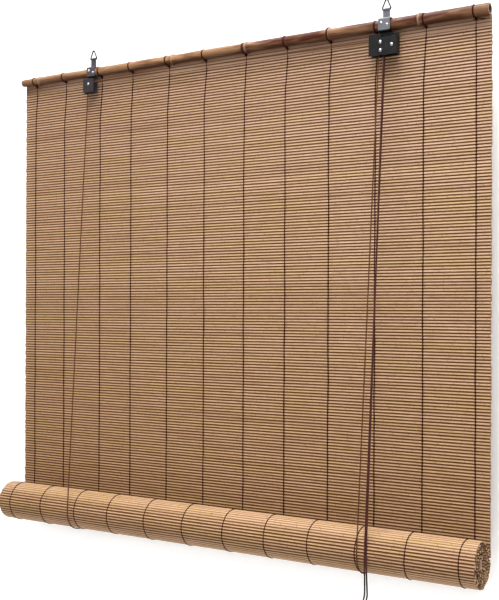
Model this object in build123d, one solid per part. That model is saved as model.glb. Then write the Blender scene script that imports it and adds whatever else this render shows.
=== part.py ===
from build123d import *
import math
import os

# Roll-up blind of woven bamboo slats, hung from a natural bamboo pole and partly rolled up.
# Millimetres. +X runs along the width, to the right as seen from the room.
# -Y faces the room, and +Z is up.
# The origin is midway between the two hooks that the blind hangs on.

# ---------------------------------------------------------------- overall
blind_width = 1200.0  # length of the slats, the header lath and the roll
hook_spacing = 760.0  # between the two hanging rings
blind_middle_x = -9.0  # middle of the slats, seen from the middle of the two hooks
roll_axis_z = -1085.0  # height of the roll's axis, at rest
nominal_width = 1200.0  # the width for which the places of cane nodes and threads are given

# ---------------------------------------------------------------- bamboo
pole_axis_z = -50.0
pole_overhang = 1.0  # at the pole's left end, past the slats
pole_left_radius = 8.2
pole_right_radius = 11.3
pole_bulge = 0.9  # how far a node of the cane stands out
pole_bulge_half_length = 9.0
pole_ridge_half_length = 1.5  # the cylindrical top of a node
pole_node_places = (-545.0, -137.0, 60.0, 260.0, 458.0)  # the cane's nodes, from the blind's middle
pole_wall = 3.2
pole_septum = 5.0  # solid wood at each node of the cane

lath_bottom_z = -77.0
lath_thickness = 4.0
lath_front_y = 9.6
lath_edge = 1.0  # rounding along both laths

slat_height = 5.7
slat_thickness = 2.6
slat_corner = 0.8
slat_gap = 0.5  # from one slat to the next
slat_gap_under_lath = 1.2
slat_groups = 9

# From the blind's middle.
thread_places = (-559.0, -463.0, -349.0, -256.0, -150.0, -48.0, 57.0, 160.0, 264.0, 369.0, 472.0, 579.0)
thread_saddle_room = 1.0  # a thread stays at least this far from a bracket's saddle
thread_width = 1.4  # along the slats
thread_bulk = 0.6  # how far a thread stands out from the slats
thread_slack = 0.1  # room between a thread and what it holds
thread_around_pole = 1.2  # thickness of the turns round the pole

# ---------------------------------------------------------------- roll
roll_radius = 46.0
roll_turns = 7
roll_core_radius = 9.6  # the clear room inside the last half turn
roll_clearance = 0.3  # between the roll and the hanging slats
bottom_lath_thickness = 5.0
bottom_lath_gap = 0.3

# ---------------------------------------------------------------- steel brackets
sheet = 1.5  # thickness of the bracket steel
saddle_width = 25.0
saddle_slack = 0.3  # between the saddle and the pole
saddle_back_end_z = -53.5  # lower end of the saddle's rear leg
joggle_slack = 0.8  # between the pole's underside and the strap that turns back below it
bend_radius = 2.4  # centre line of the strap's bends
back_plate_y = -1.25  # middle of the back plate
box_depth = 11.5  # clear room between back and front plate
left_plate_width = 32.0  # centred on the left wheel
left_plate_top_z = -67.0
left_plate_bottom_z = -100.0
lock_plate_left_reach = 32.0  # from the right hook to the lock's left edge
lock_plate_right_reach = 28.0
lock_plate_top_z = -69.0
lock_step_offset = -6.0  # the lock's front plate steps down here, from the right hook
lock_step_drop = 8.8
lock_plate_bottom_z = -112.0
plate_corner = 1.6
flange_bend = 1.2  # outer radius where a front plate turns back

neck_end_room = 1.1  # between the neck's side and the bend of the ring
knuckle_wall = 1.5
ring_wire = 2.2
ring_half_base = 10.3
ring_half_angle = 24.0
ring_top_bend = 2.5
ring_base_bend = 1.7
knuckle_slack = 0.15

screw_offset_x = 6.3
screw_drop = 2.6  # one screw above and one below the pole's axis
screw_head_radius = 3.1
screw_head_height = 1.7
screw_shank_radius = 1.4
screw_length = 7.0
rivet_shank_radius = 2.0
rivet_head_radius = 3.5
rivet_head_height = 2.0
rivet_tail_radius = 3.0
rivet_tail_height = 0.9
fit_slack = 0.05  # round screws and rivets, and in the wheels' bores
cut_margin = 1.0  # how far a cutting solid passes the faces that it cuts

# ---------------------------------------------------------------- wheels and cam
cord_diameter = 2.0
wheel_pitch_radius = 5.5  # to the middle of a cord in the groove
wheel_rim_radius = 7.6
wheel_end_slack = 0.3
groove_slack = 0.12
groove_offset = 2.6  # the two grooves of the lock's wheel lie this far from its middle
left_wheel_z = -80.0
lock_wheel_offset = -7.0  # from the right hook
lock_wheel_z = -85.5
roller_z = -102.0
roller_slack = 0.2  # between the guide roller and the cords beside it
cam_pivot_offset = 17.3  # from the right hook
cam_pivot_z = -93.4
cam_slack = 0.25  # between the cam's teeth and the cords
cam_width = 9.6
cam_boss_radius = 5.0
cam_teeth = 6
cam_tooth_depth = 0.8
cam_tooth_angle = 8.0
cam_fall = 0.5  # how much lower each tooth's tip lies than the one before it
cam_lower_flank_angle = 69.0  # where the cam's flanks meet its boss, from the first tooth
cam_upper_flank_angle = 92.0

# ---------------------------------------------------------------- cords
left_strand_offset = -5.0  # where the lift cords lie on the roll, from their own hooks
right_strand_offset = -24.2
left_wheel_offset = 0.5  # from the left lift cord
pull_cord_offsets = (-5.5, 0.5)  # where the two pull cords cross the roll's front, from the right hook
cord_gap = 0.2  # between the roll and a cord that lies on it
rear_cord_gap = 2.0  # between the slats and the lift cords behind them
lift_hole_z = -68.0  # the lift cords go through the header lath here
lift_hole_slack = 0.3
rear_bend = 2.6
cord_joint_gap = 0.15  # between two tubes of one cord
knot_radius = 2.6
coil_drop = 95.0  # from the roll's axis to the top of the coils
coil_outer_radius = 17.5
coil_inner_radius = 6.5
coil_thickness = 8.2
coil_entry_offset = -4.5  # where a pull cord meets its coil, beside the coil's middle
tail_length = 22.0
tie_wall = 0.7
tie_slack = 0.3
tie_width = 4.0
pull_cord_length = 2650.0  # each pull cord, from the lock to its end knot

# ---------------------------------------------------------------- worked out
slat_left_x = blind_middle_x - blind_width / 2
slat_right_x = blind_middle_x + blind_width / 2
pole_left_x = slat_left_x - pole_overhang
pole_right_x = slat_right_x
lath_back_y = lath_front_y + lath_thickness
widest_pole = pole_right_radius + pole_bulge + thread_slack
lath_top_z = pole_axis_z - math.sqrt(widest_pole**2 - lath_front_y**2)
slat_y = lath_front_y + lath_thickness / 2
slat_front_y = slat_y - slat_thickness / 2
slat_back_y = slat_y + slat_thickness / 2
thread_front_y = slat_front_y - thread_bulk
thread_back_y = slat_back_y + thread_bulk
roll_axis_y = thread_front_y - roll_clearance - roll_radius
front_plate_back_y = back_plate_y - sheet / 2 - box_depth
wheel_y = front_plate_back_y + box_depth / 2
left_hook_x = -hook_spacing / 2
right_hook_x = hook_spacing / 2
left_strand_x = left_hook_x + left_strand_offset
right_strand_x = right_hook_x + right_strand_offset
left_wheel_x = left_strand_x + left_wheel_offset
lock_wheel_x = right_hook_x + lock_wheel_offset
cam_pivot_x = right_hook_x + cam_pivot_offset
lock_plate_left_x = right_hook_x - lock_plate_left_reach
lock_plate_right_x = right_hook_x + lock_plate_right_reach
neck_width = 2 * (ring_half_base - ring_base_bend - neck_end_room)
cord_radius = cord_diameter / 2
lift_hole_radius = cord_radius + lift_hole_slack
roll_front_cord_y = roll_axis_y - roll_radius - cord_gap - cord_radius
rear_cord_y = max(thread_back_y, lath_back_y) + rear_cord_gap + cord_radius
slat_pitch = slat_height + slat_gap
roll_pitch = (roll_radius - slat_thickness - roll_core_radius) / (roll_turns - 0.5)
first_slat_z = lath_bottom_z - slat_gap_under_lath - slat_height / 2
slat_count = int((first_slat_z - roll_axis_z) / slat_pitch) + 1  # they end behind the roll's axis
slats_per_group = math.ceil(slat_count / slat_groups)
last_slat_z = first_slat_z - slat_pitch * (slat_count - 1)
coil_top_z = roll_axis_z - coil_drop

os.makedirs("parts", exist_ok=True)


def save(name, *solids):
    """Write the solids of one piece, or of one group of like pieces, under the piece's name."""
    piece = solids[0] if len(solids) == 1 else Compound(children=list(solids))
    export_step(piece, f"parts/{name}.step")


def cylinder_x(radius, x0, x1, y, z):
    return Plane(origin=(x0, y, z), x_dir=(0, 1, 0), z_dir=(1, 0, 0)) * extrude(Circle(radius), x1 - x0)


def cylinder_y(radius, y0, y1, x, z):
    return Plane(origin=(x, y0, z), x_dir=(1, 0, 0), z_dir=(0, 1, 0)) * extrude(Circle(radius), y1 - y0)


def block(x0, x1, y0, y1, z0, z1):
    return Pos((x0 + x1) / 2, (y0 + y1) / 2, (z0 + z1) / 2) * Box(x1 - x0, y1 - y0, z1 - z0)


def side_sketch(x, sketch):
    """Place a sketch drawn in (y, z) on the plane across the blind at x."""
    return Plane(origin=(x, 0, 0), x_dir=(0, 1, 0), z_dir=(1, 0, 0)) * sketch


def tube(path, start, direction, radius=cord_radius):
    """A round tube along a path of straight runs and tangent arcs."""
    return sweep(Plane(origin=start, z_dir=direction) * Circle(radius), path)


# ---------------------------------------------------------------- head pole and header lath
def pole_radius(x):
    """Outer radius of the tapering cane at x, between its nodes."""
    share = (x - pole_left_x) / (pole_right_x - pole_left_x)
    return pole_left_radius + (pole_right_radius - pole_left_radius) * math.sqrt(max(share, 0.0))


def across(place):
    """x of a place given for the nominal width, from the blind's middle."""
    return blind_middle_x + place * blind_width / nominal_width


def near_node(x):
    """Whether the cane swells at x."""
    return any(abs(x - across(place)) < pole_bulge_half_length for place in pole_node_places)


def make_pole():
    """The hollow cane, with solid wood at each node."""
    nodes = [across(place) for place in pole_node_places]
    edges = [pole_left_x, *nodes, pole_right_x]
    outline = [(pole_left_x, pole_radius(pole_left_x))]
    for node in nodes:
        outline.append((node - pole_bulge_half_length, pole_radius(node - pole_bulge_half_length)))
        outline.append((node - pole_ridge_half_length, pole_radius(node) + pole_bulge))
        outline.append((node + pole_ridge_half_length, pole_radius(node) + pole_bulge))
        outline.append((node + pole_bulge_half_length, pole_radius(node + pole_bulge_half_length)))
    outline.append((pole_right_x, pole_radius(pole_right_x)))
    section = make_face(Polyline((pole_left_x, 0), *outline, (pole_right_x, 0), close=True))
    for i, (x0, x1) in enumerate(zip(edges, edges[1:])):
        start = x0 if i == 0 else x0 + pole_septum / 2
        end = x1 if i == len(edges) - 2 else x1 - pole_septum / 2
        bore = min(pole_radius(start), pole_radius(end)) - pole_wall
        section -= make_face(Polyline((start, 0), (start, bore), (end, bore), (end, 0), close=True))
    cane = revolve(Plane.XY * section, Axis.X)
    return Pos(0, 0, pole_axis_z) * cane


def bracket_holes(hook_x):
    """The two screw holes of one bracket, as (x, z)."""
    return [
        (hook_x - screw_offset_x, pole_axis_z + screw_drop),
        (hook_x + screw_offset_x, pole_axis_z - screw_drop),
    ]


def saddle_front_y(hook_x):
    """Outer face of the saddle's front leg."""
    return -(pole_radius(hook_x) + saddle_slack + sheet)


pole = make_pole()
for hook_x in (left_hook_x, right_hook_x):
    for x, z in bracket_holes(hook_x):
        pole -= cylinder_y(screw_shank_radius + fit_slack, saddle_front_y(hook_x), 0, x, z)
save("head_pole", pole.solid())

lath = block(slat_left_x, slat_right_x, lath_front_y, lath_back_y, lath_bottom_z, lath_top_z)
lath = fillet(lath.edges().filter_by(Axis.X), lath_edge)
for x in (left_strand_x, right_strand_x):
    lath -= cylinder_y(lift_hole_radius, lath_front_y - cut_margin, lath_back_y + cut_margin, x, lift_hole_z)
save("header_lath", lath.solid())

# ---------------------------------------------------------------- hanging slats
slat_section = RectangleRounded(slat_thickness, slat_height, slat_corner)
for group in range(slat_groups):
    slats = []
    for i in range(group * slats_per_group, min((group + 1) * slats_per_group, slat_count)):
        section = Pos(slat_y, first_slat_z - slat_pitch * i) * slat_section
        slats.append(extrude(side_sketch(slat_left_x, section), blind_width).solid())
    save(f"hanging_slats_{group + 1}", *slats)


# ---------------------------------------------------------------- warp threads
def frame(y0, y1, z0, z1):
    """A rectangle drawn in (y, z)."""
    return Pos((y0 + y1) / 2, (z0 + z1) / 2) * Rectangle(y1 - y0, z1 - z0)


def clear_of_saddles(x):
    """x, or the nearest x at which a thread passes beside a bracket's saddle."""
    reach = saddle_width / 2 + thread_width / 2 + thread_saddle_room
    for hook_x in (left_hook_x, right_hook_x):
        if abs(x - hook_x) < reach:
            return hook_x + math.copysign(reach, x - hook_x)
    return x


def make_thread(x):
    """One warp thread: its turns round the pole and the lath, and the ladder that holds every slat."""
    radius = pole_radius(x) + pole_bulge * near_node(x)
    inner = radius + thread_slack
    outer = inner + thread_around_pole
    ladder_bottom = last_slat_z - slat_height / 2 - thread_slack - thread_around_pole
    band = Pos(0, pole_axis_z) * Circle(outer)
    band += frame(
        lath_front_y - thread_slack - thread_around_pole,
        lath_back_y + thread_slack + thread_around_pole,
        lath_bottom_z - thread_slack - thread_around_pole,
        lath_top_z + thread_slack + thread_around_pole,
    )
    band += frame(0, lath_front_y, pole_axis_z - outer, lath_top_z)
    band += frame(thread_front_y, thread_back_y, ladder_bottom, lath_bottom_z)
    band -= Pos(0, pole_axis_z) * Circle(inner)
    band -= frame(
        lath_front_y - thread_slack,
        lath_back_y + thread_slack,
        lath_bottom_z - thread_slack,
        lath_top_z + thread_slack,
    )
    half = slat_height / 2 + thread_slack
    windows = [
        frame(
            slat_front_y - thread_slack,
            slat_back_y + thread_slack,
            first_slat_z - slat_pitch * i - half,
            first_slat_z - slat_pitch * i + half,
        )
        for i in range(slat_count)
    ]
    return extrude(side_sketch(x - thread_width / 2, band - windows), thread_width)


for i, place in enumerate(thread_places):
    thread = make_thread(clear_of_saddles(across(place)))
    save(f"warp_thread_{i + 1:02d}", thread.solid())


# ---------------------------------------------------------------- roll
def half_turn_spiral(start_radius, pitch, turns):
    """A spiral of half circles, each smaller than the last, from (+radius, 0) round below first."""
    arcs = []
    centre = 0.0
    radius = start_radius
    side = 1
    for _ in range(turns * 2):
        start = (centre + side * radius, 0)
        middle = (centre, -side * radius)
        end = (centre - side * radius, 0)
        arcs.append(ThreePointArc(start, middle, end))
        next_radius = radius - pitch / 2
        centre -= side * (radius - next_radius)
        radius = next_radius
        side = -side
    return arcs, (centre + side * radius, 0)


def make_roll():
    """The roll, and y of the middle of its core."""
    outer, outer_end = half_turn_spiral(roll_radius, roll_pitch, roll_turns)
    inner, inner_end = half_turn_spiral(roll_radius - slat_thickness, roll_pitch, roll_turns)
    free_end = Line(outer_end, inner_end)
    start = Line((roll_radius - slat_thickness, 0), (roll_radius, 0))
    section = make_face([*outer, free_end, *inner, start])
    roll = extrude(side_sketch(slat_left_x, Pos(roll_axis_y, roll_axis_z) * section), blind_width)
    return roll, roll_axis_y + inner_end[0] - roll_core_radius


# The bottom lath lies in the roll's core, from wall to wall.
roll, core_y = make_roll()
save("rolled_slats", roll.solid())
lath_reach = math.sqrt((roll_core_radius - bottom_lath_gap) ** 2 - (bottom_lath_thickness / 2) ** 2)
bottom_lath = block(
    slat_left_x,
    slat_right_x,
    core_y - bottom_lath_thickness / 2,
    core_y + bottom_lath_thickness / 2,
    roll_axis_z - lath_reach,
    roll_axis_z + lath_reach,
)
save("bottom_lath", fillet(bottom_lath.edges().filter_by(Axis.X), lath_edge).solid())


# ---------------------------------------------------------------- brackets
def strap_path(hook_x, lower_end_z):
    """Middle line of the strap: rear leg, over the pole, front leg, back below the pole, and down."""
    side = -(saddle_front_y(hook_x) + sheet / 2)
    top = pole_axis_z + side
    under = pole_axis_z - pole_radius(hook_x) - pole_bulge - joggle_slack - sheet / 2
    points = [
        (hook_x, side, saddle_back_end_z),
        (hook_x, side, top),
        (hook_x, -side, top),
        (hook_x, -side, under),
        (hook_x, back_plate_y, under),
        (hook_x, back_plate_y, lower_end_z),
    ]
    return FilletPolyline(*points, radius=bend_radius), points, top


def rivet_hole(x, z):
    """A hole through both plates of a box."""
    front = front_plate_back_y - sheet - cut_margin
    return cylinder_y(rivet_shank_radius + fit_slack, front, back_plate_y + sheet / 2 + cut_margin, x, z)


ring_apex_z = ring_wire / 2
apex_fillet_rise = ring_top_bend * (1 / math.sin(math.radians(ring_half_angle)) - 1)
ring_peak_z = ring_apex_z + apex_fillet_rise
ring_base_z = ring_peak_z - ring_half_base / math.tan(math.radians(ring_half_angle))
knuckle_hole = ring_wire / 2 + knuckle_slack
knuckle_radius = knuckle_hole + knuckle_wall


def make_bracket(hook_x, plate_left_x, plate_right_x, plate_top_z, plate_bottom_z, rivets):
    """Saddle, hanging knuckle and back plate: one bent steel strap."""
    path, points, saddle_top = strap_path(hook_x, plate_bottom_z)
    start = Plane(origin=points[0], x_dir=(1, 0, 0), z_dir=(0, 0, 1))
    strap = sweep(start * Rectangle(saddle_width, sheet), path)
    plate = block(
        plate_left_x,
        plate_right_x,
        back_plate_y - sheet / 2,
        back_plate_y + sheet / 2,
        plate_bottom_z,
        plate_top_z,
    )
    plate = fillet(plate.edges().filter_by(Axis.Y), plate_corner)
    neck = block(
        hook_x - neck_width / 2, hook_x + neck_width / 2, -sheet / 2, sheet / 2, saddle_top, ring_base_z
    )
    knuckle = cylinder_x(knuckle_radius, hook_x - neck_width / 2, hook_x + neck_width / 2, 0, ring_base_z)
    bracket = strap + plate + neck + knuckle
    bracket -= cylinder_x(knuckle_hole, hook_x - neck_width, hook_x + neck_width, 0, ring_base_z)
    for x, z in bracket_holes(hook_x):
        front = saddle_front_y(hook_x) - cut_margin
        bracket -= cylinder_y(screw_shank_radius + fit_slack, front, 0, x, z)
    for x, z in rivets:
        bracket -= rivet_hole(x, z)
    return bracket


def make_screw(hook_x, x, z):
    """A dome-headed screw through the saddle into the pole."""
    seat_y = saddle_front_y(hook_x)
    shank = cylinder_y(screw_shank_radius, seat_y, seat_y + sheet + screw_length, x, z)
    return shank + dome(x, z, seat_y, screw_head_radius, screw_head_height)


def dome(x, z, seat_y, radius, height):
    """A domed head whose flat side lies at seat_y and which stands out towards the room."""
    sphere_radius = (radius**2 + height**2) / (2 * height)
    half_angle = math.asin(radius / sphere_radius) / 2
    shoulder = (sphere_radius * math.sin(half_angle), height - sphere_radius * (1 - math.cos(half_angle)))
    base = Line((0, 0), (radius, 0))
    crown = ThreePointArc((radius, 0), shoulder, (0, height))
    axis = Line((0, height), (0, 0))
    head = revolve(make_face([base, crown, axis]), Axis.Y)
    return Plane(origin=(x, seat_y, z), x_dir=(1, 0, 0), z_dir=(0, 0, 1)) * (Rot(0, 0, 180) * head)


def make_axle_rivet(x, z):
    """A rivet through front and back plate, which carries a wheel, the roller or the cam."""
    front_y = front_plate_back_y - sheet
    rear_y = back_plate_y + sheet / 2
    shank = cylinder_y(rivet_shank_radius, front_y, rear_y, x, z)
    tail = cylinder_y(rivet_tail_radius, rear_y, rear_y + rivet_tail_height, x, z)
    return shank + tail + dome(x, z, front_y, rivet_head_radius, rivet_head_height)


left_plate = (left_wheel_x - left_plate_width / 2, left_wheel_x + left_plate_width / 2)
left_rivets = {"left_pulley_rivet": (left_wheel_x, left_wheel_z)}
lock_rivets = {
    "lock_pulley_rivet": (lock_wheel_x, lock_wheel_z),
    "guide_roller_rivet": (lock_wheel_x, roller_z),
    "lock_cam_rivet": (cam_pivot_x, cam_pivot_z),
}

left_bracket = make_bracket(
    left_hook_x, *left_plate, left_plate_top_z, left_plate_bottom_z, left_rivets.values()
)
right_bracket = make_bracket(
    right_hook_x,
    lock_plate_left_x,
    lock_plate_right_x,
    lock_plate_top_z,
    lock_plate_bottom_z,
    lock_rivets.values(),
)
save("left_bracket", left_bracket.solid())
save("right_bracket", right_bracket.solid())

# Front plates: each has one flange turned back against the back plate.
front_y = front_plate_back_y - sheet
flange_end_y = back_plate_y - sheet / 2

left_front = block(*left_plate, front_y, front_plate_back_y, left_plate_bottom_z, left_plate_top_z)
left_front += block(
    left_plate[0], left_plate[0] + sheet, front_y, flange_end_y, left_plate_bottom_z, left_plate_top_z
)
left_front = fillet(left_front.edges().filter_by(Axis.Z).sort_by(Axis.Y)[0], flange_bend)
for x, z in left_rivets.values():
    left_front -= rivet_hole(x, z)
save("left_front_plate", left_front.solid())

lock_front = block(
    lock_plate_left_x, lock_plate_right_x, front_y, front_plate_back_y, lock_plate_bottom_z, lock_plate_top_z
)
lock_front += block(
    lock_plate_right_x - sheet,
    lock_plate_right_x,
    front_y,
    flange_end_y,
    lock_plate_bottom_z,
    lock_plate_top_z,
)
lock_front -= block(
    right_hook_x + lock_step_offset,
    lock_plate_right_x + cut_margin,
    front_y - cut_margin,
    flange_end_y + cut_margin,
    lock_plate_top_z - lock_step_drop,
    lock_plate_top_z + cut_margin,
)
for x, z in lock_rivets.values():
    lock_front -= rivet_hole(x, z)
save("lock_front_plate", lock_front.solid())

for side, hook_x in (("left", left_hook_x), ("right", right_hook_x)):
    screws = [make_screw(hook_x, x, z).solid() for x, z in bracket_holes(hook_x)]
    save(f"{side}_bracket_screws", *screws)
for name, place in {**left_rivets, **lock_rivets}.items():
    save(name, make_axle_rivet(*place).solid())


# ---------------------------------------------------------------- hanging rings
def make_ring(hook_x):
    """A triangle of wire whose base bar lies in the bracket's knuckle."""
    corners = [
        (hook_x - ring_half_base / 2, 0, ring_base_z),
        (hook_x - ring_half_base, 0, ring_base_z),
        (hook_x, 0, ring_peak_z),
        (hook_x + ring_half_base, 0, ring_base_z),
        (hook_x + ring_half_base / 2, 0, ring_base_z),
    ]
    path = FilletPolyline(*corners, radius=[ring_base_bend, ring_top_bend, ring_base_bend])
    loop = tube(path, corners[0], (-1, 0, 0), ring_wire / 2)
    bar = cylinder_x(
        ring_wire / 2, hook_x - ring_half_base / 2, hook_x + ring_half_base / 2, 0, ring_base_z
    )
    return loop + bar


save("left_hanging_ring", make_ring(left_hook_x).solid())
save("right_hanging_ring", make_ring(right_hook_x).solid())


# ---------------------------------------------------------------- wheels, roller and cam
def make_wheel(x, z, groove_places):
    """A grooved cord wheel that runs on its rivet."""
    half = box_depth / 2 - wheel_end_slack
    wheel = cylinder_y(wheel_rim_radius, wheel_y - half, wheel_y + half, x, z)
    wheel -= cylinder_y(rivet_shank_radius + fit_slack, wheel_y - half, wheel_y + half, x, z)
    for groove_y in groove_places:
        profile = Circle(cord_radius + groove_slack)
        profile += Pos(cord_radius * 2, 0) * Rectangle(cord_radius * 4, 2 * (cord_radius + groove_slack))
        plane = Plane(origin=(x, groove_y, z), x_dir=(1, 0, 0), z_dir=(0, 0, 1))
        groove = revolve(plane * Pos(wheel_pitch_radius, 0) * profile, Axis((x, 0, z), (0, 1, 0)))
        wheel -= groove
    return wheel


def make_cam():
    """A toothed cam that swings on its rivet; its nose holds the pull cords against the guide roller."""
    nose_x = lock_wheel_x + wheel_pitch_radius + cord_radius + cam_slack
    nose_radius = math.hypot(cam_pivot_x - nose_x, cam_pivot_z - roller_z)
    nose_angle = math.degrees(math.atan2(roller_z - cam_pivot_z, nose_x - cam_pivot_x))

    def polar(reach, angle):
        return reach * math.cos(math.radians(angle)), reach * math.sin(math.radians(angle))

    teeth = []
    for i in range(cam_teeth * 2 + 1):
        depth = cam_tooth_depth if i % 2 else 0.0
        reach = nose_radius - depth - cam_fall * i / 2
        teeth.append(polar(reach, nose_angle + cam_tooth_angle * i / 2))
    lower = polar(cam_boss_radius, nose_angle - cam_lower_flank_angle)
    upper = polar(cam_boss_radius, nose_angle + cam_upper_flank_angle)
    section = make_face(Polyline(lower, *teeth, upper, close=True)) + Circle(cam_boss_radius)
    section -= Circle(rivet_shank_radius + fit_slack)
    rear_y = wheel_y + cam_width / 2
    plane = Plane(origin=(cam_pivot_x, rear_y, cam_pivot_z), x_dir=(1, 0, 0), z_dir=(0, -1, 0))
    return extrude(plane * section, cam_width)


save("left_pulley", make_wheel(left_wheel_x, left_wheel_z, [wheel_y]).solid())
save(
    "lock_pulley",
    make_wheel(lock_wheel_x, lock_wheel_z, [wheel_y - groove_offset, wheel_y + groove_offset]).solid(),
)
roller_radius = wheel_pitch_radius - cord_radius - roller_slack
roller_half = box_depth / 2 - wheel_end_slack
roller = cylinder_y(roller_radius, wheel_y - roller_half, wheel_y + roller_half, lock_wheel_x, roller_z)
roller -= cylinder_y(
    rivet_shank_radius + fit_slack, wheel_y - roller_half, wheel_y + roller_half, lock_wheel_x, roller_z
)
save("guide_roller", roller.solid())
save("lock_cam", make_cam().solid())


# ---------------------------------------------------------------- lift cords and pull cords
def straight_tube(start, end):
    """A taut cord between two points."""
    path = Line(start, end)
    return tube(path, start, Vector(*end) - Vector(*start))


left_strand_top = (left_wheel_x - wheel_pitch_radius, wheel_y, left_wheel_z - wheel_pitch_radius)
right_strand_top_x = lock_wheel_x - wheel_pitch_radius
pull_top_x = lock_wheel_x + wheel_pitch_radius
left_cord_y = wheel_y + groove_offset  # the left lift cord runs in the lock wheel's rear groove
right_cord_y = wheel_y - groove_offset
wheel_bend = wheel_pitch_radius - 0.01

# The left lift cord, over its pulley, across under the header and down through the lock.
cross_points = [
    left_strand_top,
    (left_strand_top[0], wheel_y, left_wheel_z + wheel_pitch_radius),
    (pull_top_x, left_cord_y, lock_wheel_z + wheel_pitch_radius),
    (pull_top_x, left_cord_y, lock_plate_bottom_z),
]
cross_cord = tube(FilletPolyline(*cross_points, radius=wheel_bend), cross_points[0], (0, 0, 1))
save("cross_cord", cross_cord.solid())

# The right lift cord, over the lock's wheel.
over_points = [
    (right_strand_top_x, right_cord_y, lock_plate_bottom_z),
    (right_strand_top_x, right_cord_y, lock_wheel_z + wheel_pitch_radius),
    (pull_top_x, right_cord_y, lock_wheel_z + wheel_pitch_radius),
    (pull_top_x, right_cord_y, lock_plate_bottom_z),
]
over_cord = tube(FilletPolyline(*over_points, radius=wheel_bend), over_points[0], (0, 0, 1))
save("right_cord_over_wheel", over_cord.solid())

under_z = roll_axis_z - roll_radius - cord_gap - cord_radius
loop_bend = roll_radius + cord_gap + cord_radius - 0.01
lift_cords = {
    "left": (left_strand_x, left_strand_top),
    "right": (right_strand_x, (right_strand_top_x, right_cord_y, lock_plate_bottom_z)),
}
for side, (x, top) in lift_cords.items():
    strand_start = (top[0], top[1], top[2] - cord_joint_gap)
    strand_end = (x, roll_front_cord_y, roll_axis_z + cord_joint_gap)
    save(f"{side}_lift_strand", straight_tube(strand_start, strand_end).solid())

    loop_points = [
        (x, roll_front_cord_y, roll_axis_z),
        (x, roll_front_cord_y, under_z),
        (x, rear_cord_y, under_z),
        (x, rear_cord_y, roll_axis_z),
    ]
    loop = tube(FilletPolyline(*loop_points, radius=loop_bend), loop_points[0], (0, 0, -1))
    save(f"{side}_lift_loop", loop.solid())

    rear_points = [
        (x, rear_cord_y, roll_axis_z + cord_joint_gap),
        (x, rear_cord_y, lift_hole_z),
        (x, lath_front_y - fit_slack, lift_hole_z),
    ]
    rear = tube(FilletPolyline(*rear_points, radius=rear_bend), rear_points[0], (0, 0, 1))
    save(f"{side}_rear_strand", rear.solid())
    knot_y = lath_front_y - 2 * fit_slack - knot_radius
    save(f"{side}_lift_knot", (Pos(x, knot_y, lift_hole_z) * Sphere(knot_radius)).solid())

# The pull cords: down to the roll's front, free below it, then coiled, tied and knotted.
coil_x = right_hook_x + sum(pull_cord_offsets) / 2
coil_z = coil_top_z - coil_outer_radius
entry_x = coil_x + coil_entry_offset
entry_reach = abs(coil_entry_offset) - cord_radius
entry_drop = coil_outer_radius - math.sqrt(coil_outer_radius**2 - entry_reach**2)
pull_cords = {
    "left": (right_hook_x + pull_cord_offsets[0], left_cord_y, -1),
    "right": (right_hook_x + pull_cord_offsets[1], right_cord_y, 1),
}
for side, (x, top_y, way) in pull_cords.items():
    run_start = (pull_top_x, top_y, lock_plate_bottom_z - cord_joint_gap)
    run_end = (x, roll_front_cord_y, roll_axis_z + cord_joint_gap)
    run = straight_tube(run_start, run_end)
    save(f"{side}_pull_run", run.solid())

    coil_y = roll_front_cord_y + way * coil_thickness / 2
    drop_start = (x, roll_front_cord_y, roll_axis_z - cord_joint_gap)
    drop_end = (entry_x, coil_y, coil_top_z - entry_drop + cord_joint_gap)
    tail_start = (entry_x, coil_y, coil_top_z - 2 * coil_outer_radius + entry_drop - cord_joint_gap)
    tail_end = (entry_x, coil_y, tail_start[2] - tail_length)
    drop = straight_tube(drop_start, drop_end)
    tail = straight_tube(tail_start, tail_end)
    save(f"{side}_pull_drop", drop.solid(), tail.solid())

    coil_faces = (coil_y - coil_thickness / 2, coil_y + coil_thickness / 2)
    coil = cylinder_y(coil_outer_radius, *coil_faces, coil_x, coil_z)
    coil -= cylinder_y(coil_inner_radius, *coil_faces, coil_x, coil_z)
    save(f"{side}_pull_coil", coil.solid())
    knot = Pos(entry_x, coil_y, tail_end[2] - fit_slack - knot_radius) * Sphere(knot_radius)
    save(f"{side}_pull_knot", knot.solid())

    straight = math.dist(run_start, run_end) + math.dist(drop_start, drop_end)
    coiled = pull_cord_length - straight - tail_length
    mean_turn = math.pi * (coil_outer_radius + coil_inner_radius)
    print(f"{side} pull cord: {pull_cord_length:.0f} long, {coiled:.0f} of it in {coiled / mean_turn:.1f} turns")

# The tie holds both coils together at their left side.
tie_in_x = (coil_x - coil_outer_radius - tie_slack, coil_x - coil_inner_radius + 2 * tie_slack)
tie_in_y = coil_thickness + tie_slack
tie = block(
    tie_in_x[0] - tie_wall,
    tie_in_x[1] + tie_wall,
    roll_front_cord_y - tie_in_y - tie_wall,
    roll_front_cord_y + tie_in_y + tie_wall,
    coil_z - tie_width / 2,
    coil_z + tie_width / 2,
)
tie -= block(
    *tie_in_x,
    roll_front_cord_y - tie_in_y,
    roll_front_cord_y + tie_in_y,
    coil_z - tie_width,
    coil_z + tie_width,
)
save("coil_tie", tie.solid())
print("radii: wheels", wheel_bend, "under the roll", loop_bend, "behind the lath", rear_bend)
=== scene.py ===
"""Looks of a roll-up blind of woven bamboo slats that hangs from a bamboo pole.

Everything is in metres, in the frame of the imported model: +X along the blind's width, -Y towards the
room, +Z up. Each class below makes one sub-assembly, dresses it and lets it ride on its body.
"""
import logging
import math
import random
from collections.abc import Callable, Iterable, Sequence
from dataclasses import dataclass, field, replace
from enum import Enum

import bmesh
import bpy
from mathutils import Matrix, Vector, noise


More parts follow.
